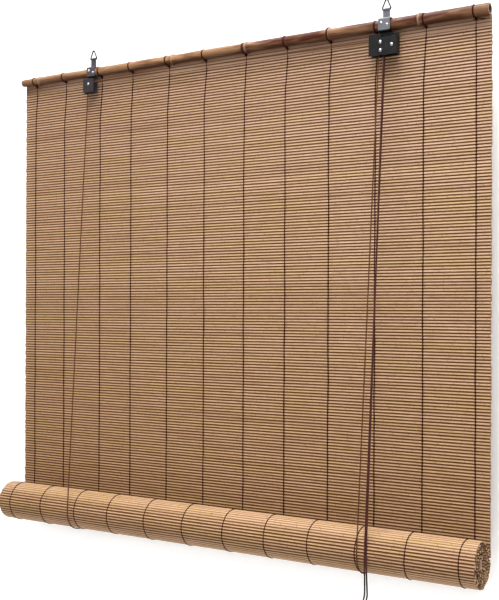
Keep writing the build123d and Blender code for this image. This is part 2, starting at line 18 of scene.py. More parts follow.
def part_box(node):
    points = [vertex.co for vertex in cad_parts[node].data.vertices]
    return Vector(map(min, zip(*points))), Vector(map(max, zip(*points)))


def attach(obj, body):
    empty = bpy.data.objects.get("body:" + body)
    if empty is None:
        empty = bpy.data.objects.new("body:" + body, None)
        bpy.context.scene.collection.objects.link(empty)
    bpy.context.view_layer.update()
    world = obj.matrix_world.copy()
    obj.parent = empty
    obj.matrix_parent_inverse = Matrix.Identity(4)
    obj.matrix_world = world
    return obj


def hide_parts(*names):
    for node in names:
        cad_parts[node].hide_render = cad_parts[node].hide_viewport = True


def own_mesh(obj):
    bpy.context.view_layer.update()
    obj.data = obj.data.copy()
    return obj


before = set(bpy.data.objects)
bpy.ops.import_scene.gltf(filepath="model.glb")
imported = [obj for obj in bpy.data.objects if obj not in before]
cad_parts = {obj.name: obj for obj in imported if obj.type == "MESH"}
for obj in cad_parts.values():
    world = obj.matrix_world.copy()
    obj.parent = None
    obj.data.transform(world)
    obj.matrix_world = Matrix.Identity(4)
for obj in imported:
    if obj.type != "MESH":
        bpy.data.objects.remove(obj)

LOG = logging.getLogger("bamboo_blind")
MM = 0.001
Colour = tuple[float, float, float, float]
Point = tuple[float, float, float]
Place = Callable[[int, int], Vector]
CornerUv = Callable[[float, int], tuple[float, float]]
SLAT_HALF_HEIGHT = 2.85 * MM
SLAT_PITCH = 6.2 * MM
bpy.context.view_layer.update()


class Body(str, Enum):
    """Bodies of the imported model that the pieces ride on."""

    BLIND = "blind"
    SLING = "roll_sling"
    ROLL = "roll"


class Slot(str, Enum):
    """Material slots of the record."""

    CANE = "bamboo_cane"
    SLAT = "bamboo_slat"
    THREAD = "warp_thread"
    CORD = "cord"
    BLACK = "black_steel"
    BRIGHT = "bright_steel"
    RING = "ring_steel"
    WHEEL = "wheel_plastic"
    CAM = "cam_steel"


class Side(str, Enum):
    """The two ends of the blind."""

    LEFT = "left"
    RIGHT = "right"


def srgb(red: int, green: int, blue: int) -> Colour:
    """A linear colour from display values of 0 to 255."""
    def linear(value: float) -> float:
        """One channel, from display to linear."""
        value /= 255.0
        return value / 12.92 if value <= 0.04045 else ((value + 0.055) / 1.055) ** 2.4

    return linear(red), linear(green), linear(blue), 1.0


# ---------------------------------------------------------------- node building
class Sheet:
    """A node tree under construction."""

    def __init__(self, tree: bpy.types.NodeTree) -> None:
        """Start with an existing tree."""
        self.tree = tree

    def node(self, kind: str, **values: object) -> bpy.types.Node:
        """Add a node.

        Args:
            kind: the node's type, such as ShaderNodeMath.
            values: properties of the node, and values of inputs under their number as in0, in1.

        Returns:
            The new node.
        """
        made = self.tree.nodes.new(kind)
        for name, value in values.items():
            if name.startswith("in") and name[2:].isdigit():
                self.feed(made.inputs[int(name[2:])], value)
            else:
                setattr(made, name, value)
        return made

    def feed(self, socket: bpy.types.NodeSocket, value: object) -> None:
        """Give an input a constant, or link an output to it."""
        if isinstance(value, bpy.types.NodeSocket):
            self.tree.links.new(value, socket)
        else:
            socket.default_value = value

    def math(self, operation: str, first: object, second: object = 0.0) -> bpy.types.NodeSocket:
        """A sum, product or other operation on two numbers."""
        return self.node("ShaderNodeMath", operation=operation, in0=first, in1=second).outputs[0]

    def ramp(
        self, value: object, low: float, high: float, start: float = 0.0, end: float = 1.0
    ) -> bpy.types.NodeSocket:
        """A smooth step from start to end while value goes from low to high."""
        made = self.node("ShaderNodeMapRange", interpolation_type="SMOOTHSTEP", in0=value)
        for number, number_value in enumerate((low, high, start, end), start=1):
            made.inputs[number].default_value = number_value
        return made.outputs[0]

    def mix(self, share: object, first: object, second: object, blend: str = "MIX") -> bpy.types.NodeSocket:
        """A mix of two colours."""
        made = self.node(
            "ShaderNodeMix", data_type="RGBA", blend_type=blend, in0=share, in6=first, in7=second
        )
        return made.outputs[2]

    def vector(self, x: object, y: object, z: object) -> bpy.types.NodeSocket:
        """A vector from three numbers."""
        return self.node("ShaderNodeCombineXYZ", in0=x, in1=y, in2=z).outputs[0]

    def noise(
        self, where: object, scale: float, detail: float = 2.0, rough: float = 0.5
    ) -> bpy.types.NodeSocket:
        """Smooth noise from 0 to 1."""
        made = self.node("ShaderNodeTexNoise", in0=where)
        made.inputs["Scale"].default_value = scale
        made.inputs["Detail"].default_value = detail
        made.inputs["Roughness"].default_value = rough
        return made.outputs[0]

    def split(self, where: object) -> tuple[bpy.types.NodeSocket, ...]:
        """The three numbers of a vector."""
        return tuple(self.node("ShaderNodeSeparateXYZ", in0=where).outputs)


def effect(name: str, inputs: dict[str, str], outputs: dict[str, str]) -> tuple[Sheet, dict, dict]:
    """Start a shared node group.

    Args:
        name: the group's name.
        inputs: socket name to socket type, for what the group takes.
        outputs: socket name to socket type, for what it gives.

    Returns:
        The sheet, the group's inputs as outputs of its input node, and the inputs of its output node.
    """
    tree = bpy.data.node_groups.new(name, "ShaderNodeTree")
    for socket, kind in inputs.items():
        tree.interface.new_socket(socket, in_out="INPUT", socket_type=kind)
    for socket, kind in outputs.items():
        tree.interface.new_socket(socket, in_out="OUTPUT", socket_type=kind)
    sheet = Sheet(tree)
    enter = sheet.node("NodeGroupInput")
    leave = sheet.node("NodeGroupOutput")
    return sheet, {s: enter.outputs[s] for s in inputs}, {s: leave.inputs[s] for s in outputs}


def shared(name: str, make: Callable[[str], bpy.types.NodeTree]) -> bpy.types.NodeTree:
    """The node group of that name, made at its first use."""
    return bpy.data.node_groups.get(name) or make(name)


def surface(
    name: str, roughness: float, metallic: float = 0.0, specular: float = 0.5
) -> tuple[Sheet, bpy.types.Node, bpy.types.Material]:
    """Start a material with one principled shader.

    Args:
        name: the material's name.
        roughness: even roughness, until something is linked to it.
        metallic: 0 for what isn't metal, 1 for bare metal.
        specular: strength of the reflection off what isn't metal.

    Returns:
        The material's sheet, its shader and the material.
    """
    material = bpy.data.materials.new(name)
    material.use_nodes = True
    sheet = Sheet(material.node_tree)
    shader = material.node_tree.nodes["Principled BSDF"]
    shader.inputs["Roughness"].default_value = roughness
    shader.inputs["Metallic"].default_value = metallic
    shader.inputs["Specular IOR Level"].default_value = specular
    return sheet, shader, material


def bump(
    sheet: Sheet, shader: bpy.types.Node, height: object, distance: float, strength: float = 1.0
) -> None:
    """Raise a surface by height times distance, in metres."""
    made = sheet.node("ShaderNodeBump")
    made.inputs["Strength"].default_value = strength
    made.inputs["Distance"].default_value = distance
    sheet.feed(made.inputs["Height"], height)
    sheet.feed(shader.inputs["Normal"], made.outputs[0])


# ---------------------------------------------------------------- finishes
class Finish:
    """A procedural material with a name."""

    name: str

    def material(self) -> bpy.types.Material:
        """The material, made at its first use."""
        return bpy.data.materials.get(self.name) or self.make()


@dataclass(frozen=True)
class SlatFinish(Finish):
    """Split bamboo: pink and yellow patches, fine fibres, dark joints, and a dark band along the edges that
    is partly dark skin and partly painted shade of the gaps between slats; the band is narrower and lighter,
    as painted light, on rolled slats that face up or down, and the slats are darker towards the bottom as
    painted shade.
    """

    name: str = "split_bamboo"
    pink: Colour = srgb(185, 150, 124)
    yellow: Colour = srgb(180, 149, 110)
    grey: Colour = srgb(162, 128, 104)
    fibre: Colour = srgb(142, 104, 70)
    joint: Colour = srgb(116, 80, 52)
    # dark skin colour of the edge band, which also serves as painted shade in the gaps between slats
    skin: Colour = srgb(88, 50, 3)
    cut_light: Colour = srgb(214, 174, 132)
    cut_dark: Colour = srgb(66, 40, 22)
    tint_high: Colour = (0.96, 1.0, 1.10, 1.0)
    tint_middle: Colour = (1.0, 1.04, 1.04, 1.0)
    # painted shade towards the bottom of the hanging slats
    painted_shade_tint: Colour = (0.93, 0.92, 0.84, 1.0)
    high_band: tuple[float, float] = (-0.45, -0.10)
    painted_shade_band: tuple[float, float] = (-0.95, -0.50)
    skin_and_gap_shade_start: float = 0.17
    skin_and_gap_shade_end: float = 0.31
    # how much the dark edge band narrows where painted light falls on a rolled slat's edges
    edge_light_narrowing: float = 0.12

    def make(self) -> bpy.types.Material:
        """Build the node tree on the strip UV (u along the slat, v across it) and the tone of each slat."""
        sheet, shader, material = surface(self.name, 0.62, specular=0.2)
        uv = sheet.node("ShaderNodeUVMap", uv_map="strip").outputs[0]
        u, v, _ = sheet.split(uv)
        tone = sheet.node("ShaderNodeAttribute", attribute_name="tone").outputs["Fac"]
        cut = sheet.node("ShaderNodeAttribute", attribute_name="cut").outputs["Fac"]
        group = sheet.node("ShaderNodeGroup", node_tree=shared("bamboo_strip", self.strip))
        sheet.feed(group.inputs["U"], u)
        sheet.feed(group.inputs["V"], v)
        sheet.feed(group.inputs["Tone"], tone)
        sheet.feed(group.inputs["X"], sheet.split(sheet.node("ShaderNodeTexCoord").outputs["Object"])[0])
        # painted shade: the dark band along each slat's edges stands in for the shade in the gaps between
        # slats, as well as for the dark skin
        off_middle = sheet.math("ABSOLUTE", sheet.math("SUBTRACT", v, 0.5))
        ragged = sheet.noise(sheet.vector(sheet.math("MULTIPLY", u, 60.0), tone, 0.0), 1.0, 2.0)
        waver = sheet.math("MULTIPLY", sheet.math("SUBTRACT", ragged, 0.5), 0.10)
        off_middle = sheet.math("ADD", off_middle, waver)
        # painted light: a rolled slat that faces up or down gets a narrower, lighter dark band, as if light
        # from above reached its gaps
        edge_light = sheet.node("ShaderNodeAttribute", attribute_name="edge_light").outputs["Fac"]
        off_middle = sheet.math("SUBTRACT", off_middle, sheet.math("MULTIPLY", edge_light, self.edge_light_narrowing))
        edge = sheet.ramp(off_middle, self.skin_and_gap_shade_start, self.skin_and_gap_shade_end)
        edge = sheet.math("MULTIPLY", edge, sheet.ramp(edge_light, 0.0, 1.0, 1.0, 0.75))
        colour = sheet.mix(edge, group.outputs["Colour"], self.skin)
        height = sheet.split(sheet.node("ShaderNodeTexCoord").outputs["Object"])[2]
        tint = sheet.mix(sheet.ramp(height, *self.high_band), self.tint_middle, self.tint_high)
        # painted shade: the slats turn darker and yellower towards the bottom, as in the shade of the roll
        tint = sheet.mix(sheet.ramp(height, *self.painted_shade_band, 1.0, 0.0), tint, self.painted_shade_tint)
        colour = sheet.mix(1.0, colour, tint, "MULTIPLY")
        end_seed = sheet.math("MULTIPLY", tone, 5077.0)
        ends = sheet.node("ShaderNodeTexWhiteNoise", noise_dimensions="1D", in1=end_seed)
        colour = sheet.mix(cut, colour, sheet.mix(ends.outputs[0], self.cut_dark, self.cut_light))
        sheet.feed(shader.inputs["Base Color"], colour)
        bump(sheet, shader, group.outputs["Height"], 0.00012, 0.7)
        return material

    def strip(self, name: str) -> bpy.types.NodeTree:
        """The shared look of a strip of bamboo, without its edges."""
        sheet, enter, leave = effect(
            name,
            {socket: "NodeSocketFloat" for socket in ("U", "V", "Tone", "X")},
            {"Colour": "NodeSocketColor", "Height": "NodeSocketFloat"},
        )
        u, v, tone, x = enter["U"], enter["V"], enter["Tone"], enter["X"]
        row = sheet.math("MULTIPLY", tone, 9311.0)
        field_row = sheet.math("MULTIPLY", tone, 90.0)
        patches = sheet.noise(
            sheet.vector(sheet.math("MULTIPLY", x, 4.5), field_row, 0.0), 1.0, 3.0, 0.65
        )
        greys = sheet.noise(sheet.vector(sheet.math("MULTIPLY", u, 5.5), row, 9.0), 1.0, 1.0)
        lengthwise, crosswise = sheet.math("MULTIPLY", u, 16.0), sheet.math("MULTIPLY", v, 13.0)
        fibres = sheet.noise(sheet.vector(lengthwise, crosswise, row), 1.0, 3.0, 0.65)
        colour = sheet.mix(sheet.ramp(patches, 0.42, 0.66), self.pink, self.yellow)
        colour = sheet.mix(sheet.ramp(greys, 0.52, 0.78, 0.0, 0.75), colour, self.grey)
        colour = sheet.mix(sheet.ramp(fibres, 0.48, 0.80, 0.0, 0.7), colour, self.fibre)
        chance = sheet.node("ShaderNodeTexWhiteNoise", noise_dimensions="1D", in1=row).outputs[0]
        level = sheet.math("MULTIPLY_ADD", chance, 0.16)
        level.node.inputs[2].default_value = 0.90
        shade = sheet.vector(level, level, level)
        colour = sheet.mix(1.0, colour, shade, "MULTIPLY")
        spots = sheet.node("ShaderNodeTexVoronoi", voronoi_dimensions="1D", feature="F1")
        sheet.feed(spots.inputs["W"], sheet.math("ADD", sheet.math("MULTIPLY", u, 3.1), row))
        joint = sheet.ramp(spots.outputs["Distance"], 0.004, 0.013, 0.7, 0.0)
        colour = sheet.mix(joint, colour, self.joint)
        sheet.feed(leave["Colour"], colour)
        sheet.feed(leave["Height"], sheet.math("ADD", fibres, joint))
        return sheet.tree


@dataclass(frozen=True)
class LathFinish(Finish):
    """Planed bamboo of the two laths: flatter and greyer than the slats, with two dark lines at fixed heights
    on the header lath that are painted shade of gaps like those between slats.
    """

    name: str = "planed_bamboo"
    light: Colour = srgb(172, 138, 112)
    dark: Colour = srgb(140, 106, 80)
    line: Colour = srgb(78, 46, 22)
    seam_shade_z: float = -71.6 * MM
    seam_shade_pitch: float = 6.2 * MM

    def make(self) -> bpy.types.Material:
        """Build the node tree on object coordinates, with the fibres along X."""
        sheet, shader, material = surface(self.name, 0.58, specular=0.35)
        where = sheet.node("ShaderNodeTexCoord").outputs["Object"]
        x, y, z = sheet.split(where)
        long_x = sheet.math("MULTIPLY", x, 6.0)
        across = sheet.math("MULTIPLY", sheet.math("ADD", z, y), 900.0)
        fibres = sheet.noise(sheet.vector(long_x, across, 0.0), 1.0, 3.0, 0.6)
        patches = sheet.noise(sheet.vector(long_x, 3.0, 0.0), 0.7, 2.0)
        colour = sheet.mix(sheet.ramp(patches, 0.4, 0.65), self.light, self.dark)
        colour = sheet.mix(sheet.ramp(fibres, 0.55, 0.8, 0.0, 0.8), colour, self.line)
        # painted shade: two dark lines across the header lath stand in for the shaded gaps between lath and
        # slats
        for seam in (self.seam_shade_z, self.seam_shade_z + self.seam_shade_pitch):
            off_seam_shade = sheet.math("ABSOLUTE", sheet.math("SUBTRACT", z, seam))
            colour = sheet.mix(sheet.ramp(off_seam_shade, 0.6 * MM, 1.4 * MM, 0.9, 0.0), colour, self.line)
        sheet.feed(shader.inputs["Base Color"], colour)
        bump(sheet, shader, fibres, 0.00015, 0.6)
        return material


@dataclass(frozen=True)
class CaneFinish(Finish):
    """The skin of the cane: tan and olive, red brown patches, fibres, a dark band at each node, a paler node
    ridge with a painted highlight, a reddish painted shade along the underside, and painted shade inside the
    open ends.
    """

    name: str = "cane_skin"
    tan: Colour = srgb(140, 106, 76)
    olive: Colour = srgb(92, 62, 34)
    red: Colour = srgb(66, 28, 15)
    dark: Colour = srgb(38, 18, 10)
    wood: Colour = srgb(138, 104, 76)
    ridge_and_highlight: Colour = srgb(158, 126, 98)
    left_x: float = -0.6
    right_x: float = 0.6

    def make(self) -> bpy.types.Material:
        """Build the node tree on the cane UV and three vertex attributes: one for the dark band at a node,
        which also marks painted shade inside the bores; one for the paler ridge at a node with its painted
        highlight; and bare.
        """
        sheet, shader, material = surface(self.name, 0.5, specular=0.15)
        uv = sheet.node("ShaderNodeUVMap", uv_map="cane").outputs[0]
        u, v, _ = sheet.split(uv)
        ring_and_bore_shade = sheet.node("ShaderNodeAttribute", attribute_name="ring_and_bore_shade").outputs["Fac"]
        bare = sheet.node("ShaderNodeAttribute", attribute_name="bare").outputs["Fac"]
        where = sheet.node("ShaderNodeTexCoord").outputs["Object"]
        stretched, fine = (
            sheet.node("ShaderNodeVectorMath", operation="MULTIPLY", in0=where, in1=scale).outputs[0]
            for scale in ((7.0, 46.0, 46.0), (40.0, 900.0, 900.0))
        )
        patches = sheet.noise(stretched, 1.0, 3.0, 0.6)
        elsewhere = sheet.node(
            "ShaderNodeVectorMath", operation="ADD", in0=stretched, in1=(31.0, 7.0, 3.0)
        ).outputs[0]
        reds = sheet.noise(elsewhere, 0.8, 3.0, 0.6)
        fibres = sheet.noise(fine, 1.0, 2.0, 0.6)
        colour = sheet.mix(sheet.ramp(patches, 0.43, 0.57), self.tan, self.olive)
        darker_right = sheet.ramp(u, self.left_x, self.right_x, 0.0, 0.42)
        red_share = sheet.math("ADD", sheet.ramp(reds, 0.48, 0.6, 0.0, 0.75), darker_right)
        colour = sheet.mix(red_share, colour, self.red)
        colour = sheet.mix(sheet.ramp(u, self.left_x, self.left_x + 0.35, 0.6, 0.0), colour, self.wood)
        colour = sheet.mix(sheet.ramp(fibres, 0.5, 0.85, 0.0, 0.5), colour, self.dark)
        # paler ridge just past each node, partly its own colour and partly a painted highlight
        ridge_and_highlight = sheet.node("ShaderNodeAttribute", attribute_name="ridge_and_highlight").outputs["Fac"]
        colour = sheet.mix(sheet.math("MULTIPLY", ridge_and_highlight, 0.6), colour, self.ridge_and_highlight)
        # the dark band at each node, and painted shade inside the open ends' bores
        colour = sheet.mix(sheet.math("MULTIPLY", ring_and_bore_shade, 0.8), colour, self.dark)
        # painted shade: the cane's underside turns reddish dark, as if shaded from the light above
        off_underside_shade = sheet.math("ABSOLUTE", sheet.math("SUBTRACT", v, 0.75))
        colour = sheet.mix(sheet.ramp(off_underside_shade, 0.02, 0.22, 0.65, 0.0), colour, self.red)
        colour = sheet.mix(bare, colour, self.wood)
        sheet.feed(shader.inputs["Base Color"], colour)
        sheet.feed(shader.inputs["Roughness"], sheet.ramp(patches, 0.3, 0.7, 0.42, 0.6))
        bump(sheet, shader, sheet.math("ADD", fibres, sheet.math("MULTIPLY", patches, 2.0)), 0.0002, 0.6)
        return material


@dataclass(frozen=True)
class TwistFinish(Finish):
    """Thread or cord: a dark fibre whose strands wind round it, sooty below a height if that is set."""

    name: str
    light: Colour
    dark: Colour
    lay_length: float
    strands: int
    crossed: bool
    soot: Colour = srgb(20, 14, 12)
    soot_below: float = -9.0

    def make(self) -> bpy.types.Material:
        """Build the node tree on the tube UV: u once round the tube, v along it in metres."""
        sheet, shader, material = surface(self.name, 0.85, specular=0.08)
        uv = sheet.node("ShaderNodeUVMap", uv_map="tube").outputs[0]
        u, v, _ = sheet.split(uv)
        around = sheet.math("MULTIPLY", u, 2 * math.pi * self.strands)
        along = sheet.math("MULTIPLY", v, 2 * math.pi / self.lay_length)
        height = sheet.math("SINE", sheet.math("ADD", around, along))
        if self.crossed:
            other = sheet.math("SINE", sheet.math("SUBTRACT", around, along))
            height = sheet.math("MULTIPLY", height, other)
        fuzz = sheet.noise(sheet.node("ShaderNodeTexCoord").outputs["Object"], 1800.0, 2.0, 0.7)
        share = sheet.math("ADD", sheet.ramp(height, -1.0, 1.0, 0.0, 0.7), sheet.math("MULTIPLY", fuzz, 0.4))
        level = sheet.split(sheet.node("ShaderNodeTexCoord").outputs["Object"])[2]
        sooty = sheet.ramp(level, self.soot_below - 0.012, self.soot_below, 0.9, 0.0)
        colour = sheet.mix(sooty, sheet.mix(share, self.dark, self.light), self.soot)
        sheet.feed(shader.inputs["Base Color"], colour)
        bump(sheet, shader, sheet.math("ADD", height, fuzz), 0.00015, 0.8)
        return material


@dataclass(frozen=True)
class MetalFinish(Finish):
    """Painted or bare metal, or moulded plastic: an even colour with fine unevenness and rubbed spots, and a
    lighter grey above a set height as a painted reflection.
    """

    name: str
    base: Colour
    spot: Colour
    roughness: float
    rough_spread: float
    metallic: float
    grain_scale: float
    grain_height: float
    specular: float = 0.5
    spot_start: float = 0.62
    reflection_grey: Colour = srgb(92, 93, 98)
    reflection_above: float = 1.0

    def make(self) -> bpy.types.Material:
        """Build the node tree on object coordinates."""
        sheet, shader, material = surface(self.name, self.roughness, self.metallic, self.specular)
        where = sheet.node("ShaderNodeTexCoord").outputs["Object"]
        clouds = sheet.noise(where, self.grain_scale / 12.0, 3.0, 0.6)
        grain = sheet.noise(where, self.grain_scale, 2.0, 0.6)
        colour = sheet.mix(sheet.ramp(clouds, self.spot_start, 0.85), self.base, self.spot)
        # painted reflection: above this height the saddle plates are painted lighter grey, as if they
        # reflected the light
        high = sheet.ramp(sheet.split(where)[2], self.reflection_above, self.reflection_above + 2 * MM)
        sheet.feed(shader.inputs["Base Color"], sheet.mix(high, colour, self.reflection_grey))
        low, high = self.roughness - self.rough_spread, self.roughness + self.rough_spread
        sheet.feed(shader.inputs["Roughness"], sheet.ramp(clouds, 0.3, 0.7, low, high))
        bump(sheet, shader, grain, self.grain_height, 0.5)
        return material


SLAT = SlatFinish()
LATH = LathFinish()
CANE = CaneFinish()
THREAD = TwistFinish("twisted_thread", srgb(62, 26, 14), srgb(30, 11, 5), 1.6 * MM, 2, False)
CORD = TwistFinish("braided_cord", srgb(104, 68, 42), srgb(54, 32, 20), 4.0 * MM, 2, True)
PULL = TwistFinish("handled_cord", srgb(84, 47, 42), srgb(38, 18, 17), 4.0 * MM, 2, True, soot_below=-1.115)
SADDLE_FOOT = -63 * MM
BLACK = MetalFinish(
    "black_paint", srgb(15, 14, 14), srgb(27, 26, 26), 0.36, 0.08, 0.0, 1500.0, 0.00003, specular=0.3
)
# painted reflection on the bracket's saddle, above its foot
SADDLE = replace(BLACK, name="paint_with_painted_reflection", roughness=0.34, reflection_above=SADDLE_FOOT)
DULL = replace(
    BLACK, name="dull_paint", base=srgb(44, 39, 41), spot=srgb(62, 55, 58), roughness=0.4,
    reflection_grey=srgb(66, 61, 65), reflection_above=SADDLE_FOOT,
)
BRIGHT = MetalFinish(
    "polished_steel", srgb(168, 170, 174), srgb(136, 138, 142), 0.34, 0.06, 1.0, 2500.0, 0.00001
)
WIRE = MetalFinish("dark_wire", srgb(52, 53, 56), srgb(36, 36, 38), 0.42, 0.08, 0.7, 2200.0, 0.00002)
PLASTIC = MetalFinish("black_plastic", srgb(30, 30, 32), srgb(48, 48, 50), 0.5, 0.06, 0.0, 3000.0, 0.00002)
CAM = MetalFinish("brushed_steel", srgb(150, 151, 154), srgb(104, 104, 106), 0.36, 0.08, 1.0, 2000.0, 0.00002)


# ---------------------------------------------------------------- mesh building
def grid_tube(
    bm: bmesh.types.BMesh, sides: int, rows: int, place: Place, uv_name: str, uv_of: CornerUv
) -> list[bmesh.types.BMVert]:
    """Roll a grid into a closed tube, with its seam welded corner to corner and its two ends filled.

    Args:
        bm: the mesh that takes the tube.
        sides: faces round the tube.
        rows: rings along the tube.
        place: where the corner of a side and a row lies.
        uv_name: the UV layer to write.
        uv_of: UV of a corner, from its side (which reaches sides at the seam) and its row.

    Returns:
        The tube's vertices.
    """
    layer = bm.loops.layers.uv.get(uv_name) or bm.loops.layers.uv.new(uv_name)
    made = bmesh.ops.create_grid(bm, x_segments=sides, y_segments=rows - 1, size=1.0)["verts"]
    index = {v: (round((v.co.x + 1) / 2 * sides), round((v.co.y + 1) / 2 * (rows - 1))) for v in made}
    faces = {f for v in made for f in v.link_faces}
    for face in faces:
        face.smooth = True
        for loop in face.loops:
            loop[layer].uv = uv_of(*index[loop.vert])
    for vert, (side, row) in index.items():
        vert.co = place(side % sides, row)
    first = {row: vert for vert, (side, row) in index.items() if side == 0}
    seam = {vert: first[row] for vert, (side, row) in index.items() if side == sides}
    bmesh.ops.weld_verts(bm, targetmap=seam)
    kept = [v for v in made if v.is_valid]
    rims = {e for v in kept for e in v.link_edges if e.is_boundary}
    bmesh.ops.holes_fill(bm, edges=list(rims), sides=0)
    return kept


def across(direction: Vector) -> tuple[Vector, Vector]:
    """Two unit vectors at right angles to a direction and to each other."""
    side = direction.cross(Vector((0, 1, 0)) if abs(direction.y) < 0.9 else Vector((1, 0, 0))).normalized()
    return side, direction.cross(side).normalized()


def follow(bm: bmesh.types.BMesh, line: Sequence[Vector], radii: Sequence[float], sides: int) -> None:
    """Lay a round tube along a line of points, without twisting it.

    Args:
        bm: the mesh that takes the tube.
        line: points of the tube's middle line.
        radii: radius at each point.
        sides: faces round the tube.
    """
    steps = [(b - a) for a, b in zip(line, line[1:])]
    heads = [steps[0], *[(a + b) for a, b in zip(steps, steps[1:])], steps[-1]]
    heads = [h.normalized() for h in heads]
    side, up = across(heads[0])
    rings = []
    travelled = [0.0]
    for number, (middle, head) in enumerate(zip(line, heads)):
        side = (side - head * side.dot(head)).normalized()
        up = head.cross(side).normalized()
        rings.append((middle, side.copy(), up.copy(), radii[number]))
        if number:
            travelled.append(travelled[-1] + steps[number - 1].length)

    def place(turn: int, row: int) -> Vector:
        """A corner of the tube."""
        middle, first, second, radius = rings[row]
        angle = 2 * math.pi * turn / sides
        return middle + first * (radius * math.cos(angle)) + second * (radius * math.sin(angle))

    grid_tube(bm, sides, len(line), place, "tube", lambda turn, row: (turn / sides, travelled[row]))


def finish_mesh(bm: bmesh.types.BMesh, name: str, material: bpy.types.Material) -> bpy.types.Object:
    """Turn a mesh under construction into a piece with outward normals and one material.

    Args:
        bm: the finished mesh, freed here.
        name: the piece's name.
        material: what it is made of.

    Returns:
        The piece, at the origin.
    """
    bmesh.ops.recalc_face_normals(bm, faces=bm.faces[:])
    mesh = bpy.data.meshes.new(name)
    bm.to_mesh(mesh)
    bm.free()
    mesh.materials.append(material)
    piece = bpy.data.objects.new(name, mesh)
    bpy.context.scene.collection.objects.link(piece)
    return piece


def report(piece: bpy.types.Object, body: Body | str, slot: Slot) -> bpy.types.Object:
    """Let a piece ride on its body and log it."""
    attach(piece, body.value if isinstance(body, Body) else body)
    LOG.info("%s rides on %s", piece.name, body)
    return piece


def size_of(node: str) -> tuple[Vector, Vector]:
    """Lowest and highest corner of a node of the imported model."""
    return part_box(node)


# ---------------------------------------------------------------- shared sizes
@dataclass(frozen=True)
class Weave:
    """Sizes of the woven fabric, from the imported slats."""

    low: Vector
    high: Vector
    first_z: float
    last_z: float
    count: int
    groups: int

    @classmethod
    def from_frame(cls) -> "Weave":
        """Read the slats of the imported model."""
        names = [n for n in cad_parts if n.startswith("hanging_slats_")]
        boxes = [size_of(n) for n in names]
        low = Vector(min(b[0][i] for b in boxes) for i in range(3))
        high = Vector(max(b[1][i] for b in boxes) for i in range(3))
        count = round((high.z - low.z - 2 * SLAT_HALF_HEIGHT) / SLAT_PITCH) + 1
        return cls(
            low, high, high.z - SLAT_HALF_HEIGHT, low.z + SLAT_HALF_HEIGHT, count, len(names)
        )

    @property
    def pitch(self) -> float:
        """Distance from one slat to the next."""
        return (self.first_z - self.last_z) / (self.count - 1)

    @property
    def middle_y(self) -> float:
        """Middle of the slats' thickness."""
        return (self.low.y + self.high.y) / 2

    @property
    def thickness(self) -> float:
        """Thickness of a slat."""
        return self.high.y - self.low.y


@dataclass(frozen=True)
class Lift:
    """How far the roll rises, and the name of its joint."""

    travel: float = 0.85
    joint: str = "roll_lift"

    def shorten(self, piece: bpy.types.Object, top_z: float) -> None:
        """Give a piece its own copy of its mesh; nothing gathers it towards its top end here."""
        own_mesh(piece)


LIFT = Lift()


